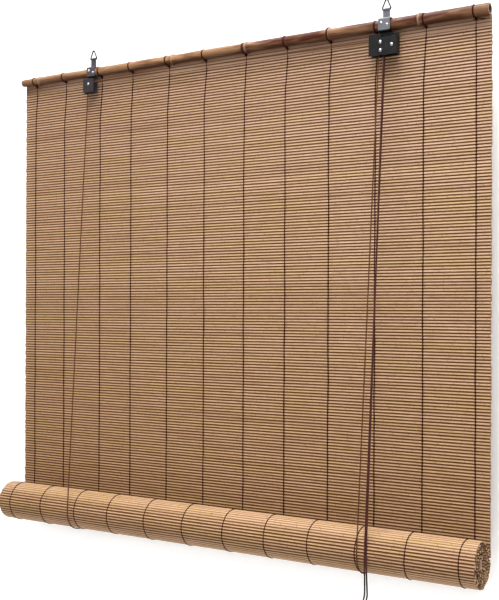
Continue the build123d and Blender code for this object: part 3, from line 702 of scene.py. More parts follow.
# ---------------------------------------------------------------- slats
@dataclass
class SlatShop:
    """Makes slats: a template strip, copied, waved and set in place."""

    weave: Weave
    stations: int = 11
    ragged: float = 1.6 * MM
    overhang: float = 1.5 * MM
    outline: tuple[tuple[float, float], ...] = (
        (-1.30, 0.90), (-1.12, 1.75), (-0.62, 2.45), (-0.15, 3.24), (0.60, 2.45), (1.15, 1.60),
        (1.15, -1.60), (0.60, -2.45), (-0.15, -3.24), (-0.62, -2.45), (-1.12, -1.75), (-1.30, -0.90),
    )
    template: bpy.types.Mesh | None = None

    def make_template(self) -> bpy.types.Mesh:
        """One straight slat of unit length along X, in millimetres across."""
        bm = bmesh.new()
        for layer in ("tone", "edge_light", "cut"):
            bm.faces.layers.float.new(layer)
        cut = bm.faces.layers.float["cut"]
        height = 2 * max(z for _, z in self.outline)

        def place(side: int, row: int) -> Vector:
            """A corner of the strip."""
            y, z = self.outline[side]
            return Vector((row / (self.stations - 1), y * MM, z * MM))

        def uv(side: int, row: int) -> tuple[float, float]:
            """u along the slat and v across it."""
            return row / (self.stations - 1), self.outline[side % len(self.outline)][1] / height + 0.5

        grid_tube(bm, len(self.outline), self.stations, place, "strip", uv)
        for face in bm.faces:
            face[cut] = float(len(face.verts) > 4)
            face.smooth = False
        bmesh.ops.recalc_face_normals(bm, faces=bm.faces[:])
        mesh = bpy.data.meshes.new("slat_template")
        bm.to_mesh(mesh)
        bm.free()
        return mesh

    def add(
        self, bm: bmesh.types.BMesh, number: int, rng: random.Random, left: float, right: float,
        seat: Callable[[Vector], Vector], edge_light: float = 0.0,
    ) -> None:
        """Add one slat.

        Args:
            bm: the mesh that takes the slat.
            number: the slat's number in the fabric.
            rng: seeded random numbers.
            left: x of its left end.
            right: x of its right end.
            seat: moves a point of the slat, drawn as if its middle lay on the X axis, to its place.
            edge_light: 0 for the full dark band of skin and painted gap shade along the edges, 1 for a
                narrower, lighter band, which is painted light where a rolled slat faces up or down.
        """
        self.template = self.template or self.make_template()
        verts_before, faces_before = len(bm.verts), len(bm.faces)
        bm.from_mesh(self.template)
        bm.verts.ensure_lookup_table()
        bm.faces.ensure_lookup_table()
        tall, thick, phase = rng.uniform(0.90, 1.0), rng.uniform(0.85, 1.05), rng.uniform(0, 900)
        lean = rng.uniform(-0.05, 0.05) * MM
        for vert in bm.verts[verts_before:]:
            x = left + (right - left) * vert.co.x
            own = noise.noise(Vector((x * 3.0, phase, 0.0)))
            own_y = noise.noise(Vector((x * 3.6, phase, 5.0)))
            edge = abs(vert.co.z) > 2.0 * MM
            wave = own * (0.08 if edge else 0.34) * MM
            z = vert.co.z * (1.0 if edge else tall) + wave + lean * (vert.co.x - 0.5)
            vert.co = seat(Vector((x, vert.co.y * thick + own_y * 0.25 * MM, z)))
        tone, light_on_edges = bm.faces.layers.float["tone"], bm.faces.layers.float["edge_light"]
        strip = bm.loops.layers.uv["strip"]
        shift, value = rng.uniform(0, 40), (number % 331 + rng.random() * 0.5) / 331.0
        for face in bm.faces[faces_before:]:
            face[tone], face[light_on_edges] = value, edge_light
            for loop in face.loops:
                loop[strip].uv = (shift + left + (right - left) * loop[strip].uv.x, loop[strip].uv.y)

    def blank(self) -> bmesh.types.BMesh:
        """An empty mesh with the layers that slats use."""
        bm = bmesh.new()
        for layer in ("tone", "edge_light", "cut"):
            bm.faces.layers.float.new(layer)
        bm.loops.layers.uv.new("strip")
        return bm


@dataclass
class HangingFabric:
    """The flat, hanging part of the woven slats."""

    weave: Weave
    shop: SlatShop
    seed: int = 11

    def build(self) -> None:
        """Make one piece for each group of slats."""
        rng = random.Random(self.seed)
        per_group = math.ceil(self.weave.count / self.weave.groups)
        for group in range(self.weave.groups):
            bm = self.shop.blank()
            for number in range(group * per_group, min((group + 1) * per_group, self.weave.count)):
                self.add_slat(bm, number, rng)
            piece = finish_mesh(bm, f"woven_slats_{group + 1}", SLAT.material())
            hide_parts(f"hanging_slats_{group + 1}")
            report(piece, Body.BLIND, Slot.SLAT)
            LIFT.shorten(piece, size_of("header_lath")[0].z)

    def add_slat(self, bm: bmesh.types.BMesh, number: int, rng: random.Random) -> None:
        """Add the hanging slat of that number."""
        weave = self.weave
        z = weave.first_z - weave.pitch * number

        def seat(point: Vector) -> Vector:
            """Set a point in the hanging sheet, which waves a little."""
            wave = noise.noise(Vector((point.x * 2.2, z * 2.0, 3.0))) * 0.7 * MM
            return Vector((point.x, weave.middle_y + point.y + wave * 0.4, z + point.z + wave))

        left = weave.low.x - self.shop.overhang - rng.uniform(-1.0, 0.2) * self.shop.ragged
        right = weave.high.x + self.shop.overhang - rng.uniform(0.0, self.shop.ragged)
        self.shop.add(bm, number, rng, left, right, seat)


# ---------------------------------------------------------------- roll
@dataclass
class Spiral:
    """Middle line of the rolled fabric, in half circles, each smaller than the last."""

    axis_y: float
    axis_z: float
    radius: float
    thickness: float
    pitch: float = 5.2 * MM
    turns: int = 7

    @classmethod
    def from_frame(cls, weave: Weave) -> "Spiral":
        """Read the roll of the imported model."""
        low, high = size_of("rolled_slats")
        radius = high.y - (high.y + low.y) / 2
        return cls((low.y + high.y) / 2, -1.085, radius, weave.thickness)

    def at(self, travelled: float) -> tuple[Vector, Vector, float]:
        """Follow the spiral from its outer end.

        Args:
            travelled: how far along the spiral.

        Returns:
            The point in (0, y, z), the outward unit vector there, and how many turns lie outside it.
        """
        centre, radius, side = self.axis_y, self.radius - self.thickness / 2, 1
        half = 0
        while travelled > math.pi * radius and half < self.turns * 2 - 1:
            travelled -= math.pi * radius
            centre -= side * self.pitch / 2
            radius -= self.pitch / 2
            side = -side
            half += 1
        angle = travelled / radius
        outward = Vector((0, side * math.cos(angle), -side * math.sin(angle)))
        return Vector((0, centre, self.axis_z)) + outward * radius, outward, (half + angle / math.pi) / 2

    @property
    def length(self) -> float:
        """Length of the whole middle line."""
        first = self.radius - self.thickness / 2
        return math.pi * sum(first - self.pitch / 2 * i for i in range(self.turns * 2))


@dataclass
class RolledFabric:
    """The slats and threads that are wound into the roll."""

    weave: Weave
    shop: SlatShop
    spiral: Spiral
    thread_places: Sequence[float]
    seed: int = 23
    telescope: float = 5.0 * MM
    inner_ragged: float = 4.0 * MM
    left_inset: float = 3.0 * MM
    knot_range: tuple[float, float] = (1.3, 1.6)
    thread_shifts: tuple[float, ...] = (0, 2.5, -6, -1, -2, -0.5, -2, -3, -6.5, -6.5, -6.5, -7)

    def build(self) -> None:
        """Make the wound slats, and the threads of the outer turn."""
        rng = random.Random(self.seed)
        bm = self.shop.blank()
        count = int(self.spiral.length / self.weave.pitch)
        for number in range(count):
            self.add_slat(bm, number, rng)
        piece = finish_mesh(bm, "wound_slats", SLAT.material())
        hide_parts("rolled_slats")
        report(piece, Body.ROLL, Slot.SLAT)
        self.build_threads()

    def add_slat(self, bm: bmesh.types.BMesh, number: int, rng: random.Random) -> None:
        """Add the slat of that number, counted from the outer end of the spiral."""
        middle, outward, outside = self.spiral.at((number + 0.5) * self.weave.pitch)
        along = Vector((0, outward.z, -outward.y))
        inner = min(outside, 3.0) / 3.0
        slip_left = self.telescope * inner * (0.5 + noise.noise(Vector((number * 0.13, 1.0, 0.0))))
        slip_right = self.telescope * inner * (0.5 + noise.noise(Vector((number * 0.13, 8.0, 0.0))))
        shrink = 0.97 - 0.10 * inner

        def seat(point: Vector) -> Vector:
            """Set a point in the roll, with the slat's face outwards."""
            out = outward * (-point.y) + along * (point.z * shrink)
            return Vector((point.x, 0, 0)) + middle + out

        short = self.inner_ragged * inner
        left = self.weave.low.x + self.left_inset + rng.uniform(0.0, self.shop.ragged + short)
        left += max(0.0, slip_left)
        right = self.weave.high.x + 2 * self.shop.overhang - max(0.0, slip_right)
        right -= rng.uniform(0.0, self.shop.ragged + short)
        # painted light: on the outer turn, slats that face up or down get narrower, lighter dark edges, and
        # the inner turns get a little of this
        facing = abs(outward.z)
        light_on_edges = min(1.0, max(0.0, (facing - 0.45) / 0.35)) if outside < 1.15 else 0.3
        self.shop.add(bm, 400 + number, rng, left, right, seat, light_on_edges)

    def build_threads(self) -> None:
        """Make the warp threads that show on the outer turn."""
        rng = random.Random(self.seed + 1)
        bm = bmesh.new()
        outer_length = 2 * math.pi * (self.spiral.radius - self.spiral.pitch / 2)
        for x, shift in zip(self.thread_places, self.thread_shifts):
            x += shift * MM
            line, radii = [], []
            slats = int(outer_length / self.weave.pitch) + 2
            for step in range(slats * 3):
                travelled = step / 3 * self.weave.pitch
                middle, outward, _ = self.spiral.at(travelled)
                knot = step % 3 == 0
                rise = self.weave.thickness / 2 + (-0.05 if knot else 0.12) * MM
                sway = noise.noise(Vector((travelled * 30, x * 10, 2.0))) * 1.2 * MM
                line.append(middle + outward * rise + Vector((x + sway, 0, 0)))
                radii.append((rng.uniform(*self.knot_range) if knot else 1.0) * MM)
            follow(bm, line, radii, 6)
        piece = finish_mesh(bm, "wound_threads", THREAD.material())
        report(piece, Body.ROLL, Slot.THREAD)


# ---------------------------------------------------------------- warp threads
@dataclass
class WarpThreads:
    """The twelve threads: a knotted ladder down the slats, and ties round the lath and the pole."""

    weave: Weave
    cane: "HeadPole"
    knot_radius: float = 1.95 * MM
    strand_radius: float = 1.05 * MM
    tie_radius: float = 0.85 * MM
    tail_radius: float = 0.65 * MM
    tie_shift: float = -3.0 * MM
    hang_shift: float = -8.5 * MM
    third_shift: float = -9.5 * MM
    last_tie_shift: float = -9.5 * MM
    settle: float = 80 * MM
    seed: int = 5
    places: list[float] = field(default_factory=list)

    def __post_init__(self) -> None:
        """Take the threads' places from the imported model."""
        names = sorted(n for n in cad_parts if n.startswith("warp_thread_"))
        self.places = [(size_of(n)[0].x + size_of(n)[1].x) / 2 for n in names]

    def build(self) -> None:
        """Make each thread's ladder and its ties."""
        rng = random.Random(self.seed)
        for number, x in enumerate(self.places, start=1):
            bm = bmesh.new()
            for face_y in (self.weave.low.y, self.weave.high.y):
                self.add_strand(bm, number, x, face_y, rng)
            ladder = finish_mesh(bm, f"thread_ladder_{number:02d}", THREAD.material())
            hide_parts(f"warp_thread_{number:02d}")
            report(ladder, Body.BLIND, Slot.THREAD)
            LIFT.shorten(ladder, size_of("header_lath")[0].z)
            bm = bmesh.new()
            self.add_ties(bm, self.sway(number, x, self.weave.first_z), rng, number == len(self.places))
            ties = finish_mesh(bm, f"header_tie_{number:02d}", THREAD.material())
            report(ties, Body.BLIND, Slot.THREAD)

    def sway(self, number: int, x: float, z: float) -> float:
        """Where a thread hangs at a height: it drifts a little to the left below its tie."""
        tie = self.last_tie_shift if number == len(self.places) else self.tie_shift
        hang = self.third_shift if number == 3 else self.hang_shift
        share = min(1.0, max(0.0, (self.weave.first_z - z) / self.settle))
        return x + tie + (hang - tie) * share

    def add_strand(
        self, bm: bmesh.types.BMesh, number: int, x: float, face_y: float, rng: random.Random
    ) -> None:
        """Add the strand that runs down one face, with a knot in each gap."""
        outwards = 1 if face_y > self.weave.middle_y else -1
        line, radii = [], []
        for step in range(self.weave.count * 3 + 1):
            z = self.weave.first_z + self.weave.pitch / 2 - step / 3 * self.weave.pitch
            knot = step % 3 == 0
            stand_out = (0.05 if knot else 0.28) * MM
            sway = noise.noise(Vector((z * 14, x * 10, 1.0))) * 1.0 * MM
            place = self.sway(number, x, z) + sway + rng.uniform(-0.15, 0.15) * MM
            line.append(Vector((place, face_y + outwards * stand_out, z)))
            radii.append(self.knot_radius * rng.uniform(0.9, 1.15) if knot else self.strand_radius)
        follow(bm, line, radii, 6)

    def add_ties(self, bm: bmesh.types.BMesh, x: float, rng: random.Random, last: bool) -> None:
        """Add the turns round pole and lath, and the knot between them."""
        lath_low, lath_high = size_of("header_lath")
        axis = self.cane.axis
        radius = self.cane.radius(x) + self.tie_radius * 0.8
        steps = 28
        turns = 2.2
        line = []
        for step in range(int(steps * turns)):
            angle = -math.pi / 2 + 2 * math.pi * step / steps
            drift = (step / (steps * turns) - 0.5) * 3.4 * MM
            line.append(Vector((x + drift, radius * math.cos(angle), axis + radius * math.sin(angle))))
        follow(bm, line, [self.tie_radius] * len(line), 6)
        knot = Vector((x, lath_low.y - 1.6 * MM, min(axis - radius - 1.2 * MM, lath_high.z - 2.5 * MM)))
        for start in (0.0, 1.1, 2.3):
            lump = []
            for step in range(9):
                angle = start + step * 0.75
                depth = math.cos(angle * 1.3 + start) * 1.2
                lump.append(knot + Vector((math.sin(angle) * 1.9, depth, math.cos(angle) * 2.1)) * MM)
            follow(bm, lump, [self.tie_radius] * len(lump), 6)
        for way in (-1, 1):
            reach = rng.uniform(4.0, 8.5) * way
            tail = [knot, knot + Vector((reach * 0.5, -1.4, rng.uniform(-1.5, 1.0))) * MM,
                    knot + Vector((reach, -0.8, rng.uniform(-4.0, 0.5))) * MM]
            follow(bm, tail, [self.tail_radius] * len(tail), 6)
        slat_top = self.weave.first_z + self.weave.pitch * 0.45
        slat_faces = (self.weave.low.y, self.weave.high.y)
        for face_y, outwards, slat_y in zip((lath_low.y, lath_high.y), (-1, 1), slat_faces):
            down = [
                Vector((x, 0.4 * radius, axis - radius * 0.93)),
                Vector((x - 0.3 * MM, face_y + outwards * 0.3 * MM, lath_high.z - 1.0 * MM)),
                Vector((x + 0.2 * MM, face_y + outwards * 0.45 * MM, (lath_low.z + lath_high.z) / 2)),
                Vector((x, face_y + outwards * 0.3 * MM, lath_low.z + 0.4 * MM)),
                Vector((x, slat_y, slat_top)),
            ]
            follow(bm, down, [self.tie_radius * 0.9] * len(down), 6)
        if last:
            tail = [knot, knot + Vector((4, -1.5, 0.5)) * MM, knot + Vector((9, -2.5, -0.6)) * MM,
                    knot + Vector((14, -2.2, -2.4)) * MM, knot + Vector((19, -1.2, -2.0)) * MM]
            follow(bm, tail, [0.85 * MM] * len(tail), 6)


# ---------------------------------------------------------------- pole and lath
@dataclass
class HeadPole:
    """The bamboo cane: tapering, with lipped nodes and open ends."""

    nodes_x: tuple[float, ...] = (-0.554, -0.146, 0.051, 0.251, 0.449)
    left_radius: float = 8.2 * MM
    right_radius: float = 11.3 * MM
    swell: float = 2.2 * MM
    node_offsets: tuple[float, ...] = (
        -9, -6, -4, -2.6, -1.8, -1.2, -0.6, 0, 1, 2, 3.2, 4, 4.8, 6.5, 9,
    )
    wall: float = 3.2 * MM
    open_depth: float = 26 * MM
    sides: int = 40
    axis: float = -0.05

    def __post_init__(self) -> None:
        """Take the cane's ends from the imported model."""
        low, high = size_of("head_pole")
        self.left_x, self.right_x = low.x, high.x

    def radius(self, x: float) -> float:
        """Outer radius at x, with the swelling and the groove of each node."""
        share = min(1.0, max(0.0, (x - self.left_x) / (self.right_x - self.left_x)))
        value = self.left_radius + (self.right_radius - self.left_radius) * math.sqrt(share)
        for node in self.nodes_x:
            away = (x - node) / MM
            value += self.swell * math.exp(-((away - 1.5) / 5.0) ** 2)
            value -= 0.55 * MM * math.exp(-((away + 1.2) / 0.9) ** 2)
            value -= 0.25 * MM * math.exp(-((away - 4.0) / 0.8) ** 2)
        return value

    def profile(self) -> list[tuple[float, float, float, float]]:
        """Outline of half the cane's section.

        Returns:
            Points as x, radius, nearness to a node (1 also inside the bores, as painted shade there), and 1
            where the wood is bare.
        """
        places = {self.left_x + 0.6 * MM, self.right_x - 0.6 * MM}
        step = 9 * MM
        places.update(self.left_x + step * i for i in range(1, int((self.right_x - self.left_x) / step)))
        for node in self.nodes_x:
            places.update(node + offset * MM for offset in self.node_offsets)
        skin = []
        for x in sorted(places):
            ring_and_bore_shade = max(math.exp(-(((x - node) / MM + 1.2) / 1.2) ** 2) for node in self.nodes_x)
            skin.append((x, self.radius(x), ring_and_bore_shade, 0.0))
        left_bore, right_bore = self.left_radius - self.wall, self.right_radius - self.wall
        left_rim, right_rim = self.radius(self.left_x), self.radius(self.right_x)
        return [
            # painted shade: the bores' points carry the dark node value, so the insides of the open ends are
            # painted dark
            (self.left_x + self.open_depth, 0.2 * MM, 1.0, 0.1),
            (self.left_x + self.open_depth, left_bore * 0.9, 1.0, 0.1),
            (self.left_x + 0.4 * MM, left_bore, 1.0, 0.2),
            (self.left_x, left_bore + 0.3 * MM, 0.0, 1.0),
            (self.left_x, left_rim - 0.5 * MM, 0.0, 1.0),
            *skin,
            (self.right_x, right_rim - 0.5 * MM, 0.0, 1.0),
            (self.right_x, right_bore + 0.3 * MM, 0.0, 1.0),
            (self.right_x - 0.4 * MM, right_bore, 1.0, 0.2),
            (self.right_x - self.open_depth, right_bore * 0.9, 1.0, 0.1),
            (self.right_x - self.open_depth, 0.2 * MM, 1.0, 0.1),
        ]

    def build(self) -> None:
        """Make the cane."""
        outline = self.profile()
        bm = bmesh.new()

        def place(side: int, row: int) -> Vector:
            """A corner of the cane, which is a little out of round."""
            x, radius, _, bare = outline[row]
            angle = 2 * math.pi * side / self.sides
            if not bare:
                where = Vector((x * 18, math.cos(angle) * 1.2, math.sin(angle) * 1.2))
                radius += noise.noise(where) * 0.55 * MM
            return Vector((x, radius * math.cos(angle), self.axis + radius * math.sin(angle)))

        grid_tube(
            bm, self.sides, len(outline), place, "cane",
            lambda side, row: (outline[row][0], side / self.sides),
        )
        for layer in ("ring_and_bore_shade", "bare", "ridge_and_highlight"):
            bm.verts.layers.float.new(layer)
        ring_and_bore_shade, bare, ridge_and_highlight = (bm.verts.layers.float[layer] for layer in ("ring_and_bore_shade", "bare", "ridge_and_highlight"))
        near = sorted(outline)
        for vert in bm.verts:
            away = math.hypot(vert.co.y, vert.co.z - self.axis)
            match = min(near, key=lambda p: abs(p[0] - vert.co.x) + abs(p[1] - away))
            vert[ring_and_bore_shade], vert[bare] = match[2], match[3]
            vert[ridge_and_highlight] = max(math.exp(-(((vert.co.x - node) / MM - 1.6) / 2.4) ** 2) for node in self.nodes_x)
        piece = finish_mesh(bm, "bamboo_pole", CANE.material())
        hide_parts("head_pole")
        report(piece, Body.BLIND, Slot.CANE)


@dataclass
class HeaderLath:
    """The flat lath below the pole."""

    stations: int = 60
    lower_by: float = 1.0 * MM
    raise_left: float = 3.2 * MM
    raise_right: float = 1.0 * MM

    def build(self) -> None:
        """Make the lath with slightly uneven edges."""
        low, high = size_of("header_lath")
        low = low - Vector((0, 0, self.lower_by))
        bm = bmesh.new()
        soft = 0.9 * MM
        corners = [
            (low.y, low.z + soft), (low.y + soft * 0.4, low.z + soft * 0.3), (low.y + soft, low.z),
            (high.y - soft, low.z), (high.y - soft * 0.3, low.z + soft * 0.3), (high.y, low.z + soft),
            (high.y, high.z - soft), (high.y - soft * 0.3, high.z - soft * 0.3), (high.y - soft, high.z),
            (low.y + soft, high.z), (low.y + soft * 0.4, high.z - soft * 0.3), (low.y, high.z - soft),
        ]

        def place(side: int, row: int) -> Vector:
            """A corner of the lath."""
            x = low.x + (high.x - low.x) * row / (self.stations - 1)
            y, z = corners[side]
            if side >= len(corners) // 2:
                z += self.raise_left + (self.raise_right - self.raise_left) * row / (self.stations - 1)
            uneven = noise.noise(Vector((x * 9, z * 30, 0.0))) * 0.35 * MM
            return Vector((x, y + uneven * 0.3, z + uneven))

        grid_tube(bm, len(corners), self.stations, place, "strip", lambda side, row: (row, side))
        piece = finish_mesh(bm, "planed_lath", LATH.material())
        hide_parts("header_lath")
        report(piece, Body.BLIND, Slot.SLAT)
        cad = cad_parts["bottom_lath"]
        cad.data.materials.clear()
        cad.data.materials.append(LATH.material())


# ---------------------------------------------------------------- steel
@dataclass(frozen=True)
class SteelPart:
    """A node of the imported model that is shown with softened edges."""

    node: str
    body: str
    finish: MetalFinish
    slot: Slot
    soften: float = 0.25 * MM
    thicken: float = 0.0


@dataclass
class Hardware:
    """Brackets, plates, screws, rivets, wheels, roller, cam and hanging rings."""

    parts: tuple[SteelPart, ...] = (
        SteelPart("left_bracket", "blind", DULL, Slot.BLACK),
        SteelPart("right_bracket", "blind", SADDLE, Slot.BLACK),
        SteelPart("left_front_plate", "blind", DULL, Slot.BLACK),
        SteelPart("lock_front_plate", "blind", BLACK, Slot.BLACK),
        *(
            SteelPart(node, "blind", BRIGHT, Slot.BRIGHT, 0.0)
            for node in (
                "left_bracket_screws", "right_bracket_screws", "left_pulley_rivet",
                "lock_pulley_rivet", "guide_roller_rivet", "lock_cam_rivet",
            )
        ),
        SteelPart("left_hanging_ring", "left_ring", WIRE, Slot.RING, 0.0, 0.6 * MM),
        SteelPart("right_hanging_ring", "right_ring", WIRE, Slot.RING, 0.0, 0.6 * MM),
        SteelPart("left_pulley", "left_pulley", PLASTIC, Slot.WHEEL, 0.15 * MM),
        SteelPart("lock_pulley", "lock_pulley", PLASTIC, Slot.WHEEL, 0.15 * MM),
        SteelPart("guide_roller", "guide_roller", PLASTIC, Slot.WHEEL, 0.15 * MM),
        SteelPart("lock_cam", "lock_cam", CAM, Slot.CAM, 0.15 * MM),
    )
    smooth_angle: float = math.radians(35)

    def build(self) -> None:
        """Make a softened copy of each part."""
        for part in self.parts:
            self.soften(part)

    def soften(self, part: SteelPart) -> None:
        """Copy a node's mesh, merge its flat faces and round its sharp edges."""
        bm = bmesh.new()
        bm.from_mesh(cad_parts[part.node].data)
        bmesh.ops.remove_doubles(bm, verts=bm.verts[:], dist=2e-6)
        bmesh.ops.dissolve_limit(bm, angle_limit=math.radians(0.5), verts=bm.verts[:], edges=bm.edges[:])
        bm.normal_update()
        for vert in bm.verts:
            vert.co += vert.normal * part.thicken
        for face in bm.faces:
            face.smooth = True
        mesh = bpy.data.meshes.new(f"{part.node}_finished")
        bm.to_mesh(mesh)
        bm.free()
        mesh.materials.clear()
        mesh.materials.append(part.finish.material())
        mesh.set_sharp_from_angle(angle=self.smooth_angle)
        piece = bpy.data.objects.new(f"{part.node}_finished", mesh)
        bpy.context.scene.collection.objects.link(piece)
        if part.soften:
            rounding = piece.modifiers.new("rounded_edges", "BEVEL")
            rounding.width = part.soften
            rounding.segments = 2
            rounding.limit_method = "ANGLE"
            rounding.angle_limit = self.smooth_angle
            rounding.harden_normals = True
        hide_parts(part.node)
        report(piece, part.body, part.slot)


# ---------------------------------------------------------------- cords
@dataclass(frozen=True)
class Route:
    """Control points of one cord, in millimetres, along one smooth spline."""

    points: tuple[tuple[float, float, float], ...]

    def line(self, resolution: int = 12) -> list[Vector]:
        """Points read from the route's spline, in metres."""
        curve = bpy.data.curves.new("route", "CURVE")
        curve.dimensions = "3D"
        curve.resolution_u = resolution
        spline = curve.splines.new("NURBS")
        spline.points.add(len(self.points) - 1)
        for made, (x, y, z) in zip(spline.points, self.points):
            made.co = (x * MM, y * MM, z * MM, 1.0)
        spline.order_u = 3
        spline.use_endpoint_u = True
        holder = bpy.data.objects.new("route", curve)
        bpy.context.scene.collection.objects.link(holder)
        mesh = bpy.data.meshes.new_from_object(holder)
        found = [v.co.copy() for v in mesh.vertices]
        bpy.data.objects.remove(holder)
        bpy.data.curves.remove(curve)
        bpy.data.meshes.remove(mesh)
        return found


def cord_piece(
    name: str, line: Sequence[Vector], radius: float | Sequence[float], finish: TwistFinish = CORD
) -> bpy.types.Object:
    """A braided cord along a line."""
    bm = bmesh.new()
    follow(bm, line, [radius] * len(line) if isinstance(radius, float) else radius, 8)
    return finish_mesh(bm, name, finish.material())


def length_of(line: Iterable[Vector]) -> float:
    """Length of a line of points."""
    points = list(line)
    return sum((b - a).length for a, b in zip(points, points[1:]))


@dataclass
class Cords:
    """Lift cords, cross cord and pull cords."""

    radius: float = 1.3 * MM
    pull_radius: float = 1.65 * MM
    coiled_radius: float = 1.0 * MM
    thin_from: float = -1.165
    thin_by: float = -1.182
    full_length: float = 2.65
    coil_x: float = 377.5
    coil_z: float = -1197.5
    roll_cord_y: float = -83.8
    knot_z: float = -1239.45
    entry_x: float = 373.0
    layers: tuple[float, ...] = (8.0, 10.15, 12.3, 14.45, 16.6)
    lanes: tuple[float, ...] = (-3.1, -1.03, 1.03, 3.1)
    per_turn: int = 16

    lift_x: tuple[float, float] = (-382.5, 359.0)
    strand_top: tuple[tuple[float, float, float], ...] = (
        (-390, -7.75, -85.5),
        (367.5, -10.35, -112),
    )

    def build(self) -> None:
        """Make every cord."""
        self.build_cross()
        self.build_lifts()
        for side, way in ((Side.LEFT, -1), (Side.RIGHT, 1)):
            self.build_pull(side, way)
        self.build_tie()

    def build_cross(self) -> None:
        """Make the cord that crosses below the header, and the short one over the lock's wheel."""
        cross = Route((
            (-390, -7.75, -85.5), (-390, -7.75, -74.5), (-378, -7.7, -74.6), (366.5, -5.2, -79.9),
            (378.5, -5.15, -80), (378.5, -5.15, -92), (378.5, -5.15, -112),
        ))
        over = Route((
            (367.5, -10.35, -112), (367.5, -10.35, -92), (367.5, -10.35, -80), (378.5, -10.35, -80),
            (378.5, -10.35, -92), (378.5, -10.35, -112),
        ))
        short_cords = (("crossing_cord", "cross_cord", cross), ("lock_cord", "right_cord_over_wheel", over))
        for name, node, route in short_cords:
            piece = cord_piece(name, route.line(), self.radius)
            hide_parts(node)
            report(piece, Body.BLIND, Slot.CORD)

    def build_lifts(self) -> None:
        """Make the two lift cords: down the front, round the roll and up the back."""
        for side, x, top in zip((Side.LEFT, Side.RIGHT), self.lift_x, self.strand_top):
            name = side.value
            bottom = (x, self.roll_cord_y, -1085.0)
            strand = cord_piece(f"{name}_front_cord", self.run(top, bottom), self.radius)
            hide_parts(f"{name}_lift_strand")
            report(strand, Body.BLIND, Slot.CORD)
            LIFT.shorten(strand, top[2] * MM)
            loop = Route(((x, -83.8, -1085), (x, -83.8, -1132.2), (x, 16.6, -1132.2), (x, 16.6, -1085)))
            sling = cord_piece(f"{name}_sling_cord", loop.line(), self.radius)
            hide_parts(f"{name}_lift_loop")
            report(sling, Body.SLING, Slot.CORD)
            rear = Route(((x, 16.6, -1085), (x, 16.6, -80), (x, 16.6, -68), (x, 9.55, -68)))
            back = cord_piece(f"{name}_rear_cord", rear.line(), self.radius)
            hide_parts(f"{name}_rear_strand")
            report(back, Body.BLIND, Slot.CORD)
            LIFT.shorten(back, -68 * MM)
            self.build_knot(f"{name}_header_knot", f"{name}_lift_knot", Body.BLIND)

    @staticmethod
    def run(top: tuple[float, float, float], bottom: tuple[float, float, float]) -> list[Vector]:
        """A taut cord between two points, in millimetres."""
        return Route((top, bottom_near(top, bottom, 12.0), bottom_near(bottom, top, 12.0), bottom)).line()

    def build_knot(self, name: str, node: str, body: Body) -> bpy.types.Object:
        """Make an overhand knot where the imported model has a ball."""
        low, high = size_of(node)
        middle = (low + high) / 2
        size = (high.x - low.x) / 2 - self.coiled_radius * 0.9
        bm = bmesh.new()
        line = []
        steps = 36
        for step in range(steps + 1):
            angle = 2 * math.pi * step / steps
            swing = Vector((
                math.sin(angle) + 2 * math.sin(2 * angle),
                math.sin(3 * angle) * 1.1,
                math.cos(angle) - 2 * math.cos(2 * angle),
            ))
            line.append(middle + swing * (size / 2.6))
        follow(bm, line, [self.coiled_radius * 0.9] * len(line), 8)
        piece = finish_mesh(bm, name, CORD.material())
        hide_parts(node)
        return report(piece, body, Slot.CORD)

    def coil_points(self, middle_y: float, way: int) -> list[tuple[float, float, float]]:
        """Control points of the coil's turns, lane by lane and layer by layer, from inside to outside."""
        points = []
        for layer, radius in enumerate(self.layers):
            outer = self.layers[layer + 1] if layer + 1 < len(self.layers) else radius
            lanes = self.lanes if layer % 2 == 0 else self.lanes[::-1]
            for number, lane in enumerate(lanes):
                last = number + 1 == len(lanes)
                next_lane = lane if last else lanes[number + 1]
                next_radius = outer if last else radius
                for step in range(self.per_turn):
                    angle = math.pi + 2 * math.pi * step / self.per_turn
                    share = min(1.0, max(0.0, (step / self.per_turn - 0.62) / 0.3))
                    r = radius + (next_radius - radius) * share
                    y = middle_y + way * (lane + (next_lane - lane) * share)
                    points.append((self.coil_x + r * math.cos(angle), y, self.coil_z + r * math.sin(angle)))
        return points

    def build_pull(self, side: Side, way: int) -> None:
        """Make one pull cord: its run above the roll, then the drop, the coil, the tail and the knot."""
        name = side.value
        top_y, x = (-5.15, 375.9) if side is Side.LEFT else (-10.35, 379.1)
        top, crossing = (378.5, top_y, -112.0), (x, self.roll_cord_y, -1085.0)
        run_line = self.run(top, crossing)
        run = cord_piece(f"{name}_pull_cord", run_line, self.pull_radius, PULL)
        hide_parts(f"{name}_pull_run")
        report(run, Body.BLIND, Slot.CORD)
        LIFT.shorten(run, top[2] * MM)
        coil_low, coil_high = size_of(f"{name}_pull_coil")
        middle_y = (coil_low.y + coil_high.y) / 2 / MM
        side_y = middle_y + way * 5.2
        turns = self.coil_points(middle_y, way)
        lane_y = turns[-1][1]
        route = Route((
            crossing,
            (x, self.roll_cord_y + way * 0.6, -1098),
            (x + 1.5, self.roll_cord_y + way * 1.6, -1150),
            (x + 1.5, self.roll_cord_y + way * 3.2, -1168),
            (372.6, side_y, -1181),
            (371.4, side_y, -1189.5),
            (370.0, middle_y + way * 4.1, -1193.6),
            *turns,
            (360.8, lane_y, -1198.5),
            (360.6, lane_y, -1205),
            (361.5, (lane_y + middle_y) / 2, -1212),
            (366, middle_y, -1219),
            (371.5, middle_y, -1223),
            (self.entry_x, middle_y, -1229),
            (self.entry_x, middle_y, self.knot_z + 1.2),
        ))
        line = route.line(4)
        lower = cord_piece(f"{name}_cord_end", line, [self.radius_at(p.z) for p in line], PULL)
        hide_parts(f"{name}_pull_drop", f"{name}_pull_coil")
        report(lower, Body.SLING, Slot.CORD)
        knot = self.build_knot(f"{name}_end_knot", f"{name}_pull_knot", Body.SLING)
        upper = length_of(run_line)
        tuple(v * MM for v in top)
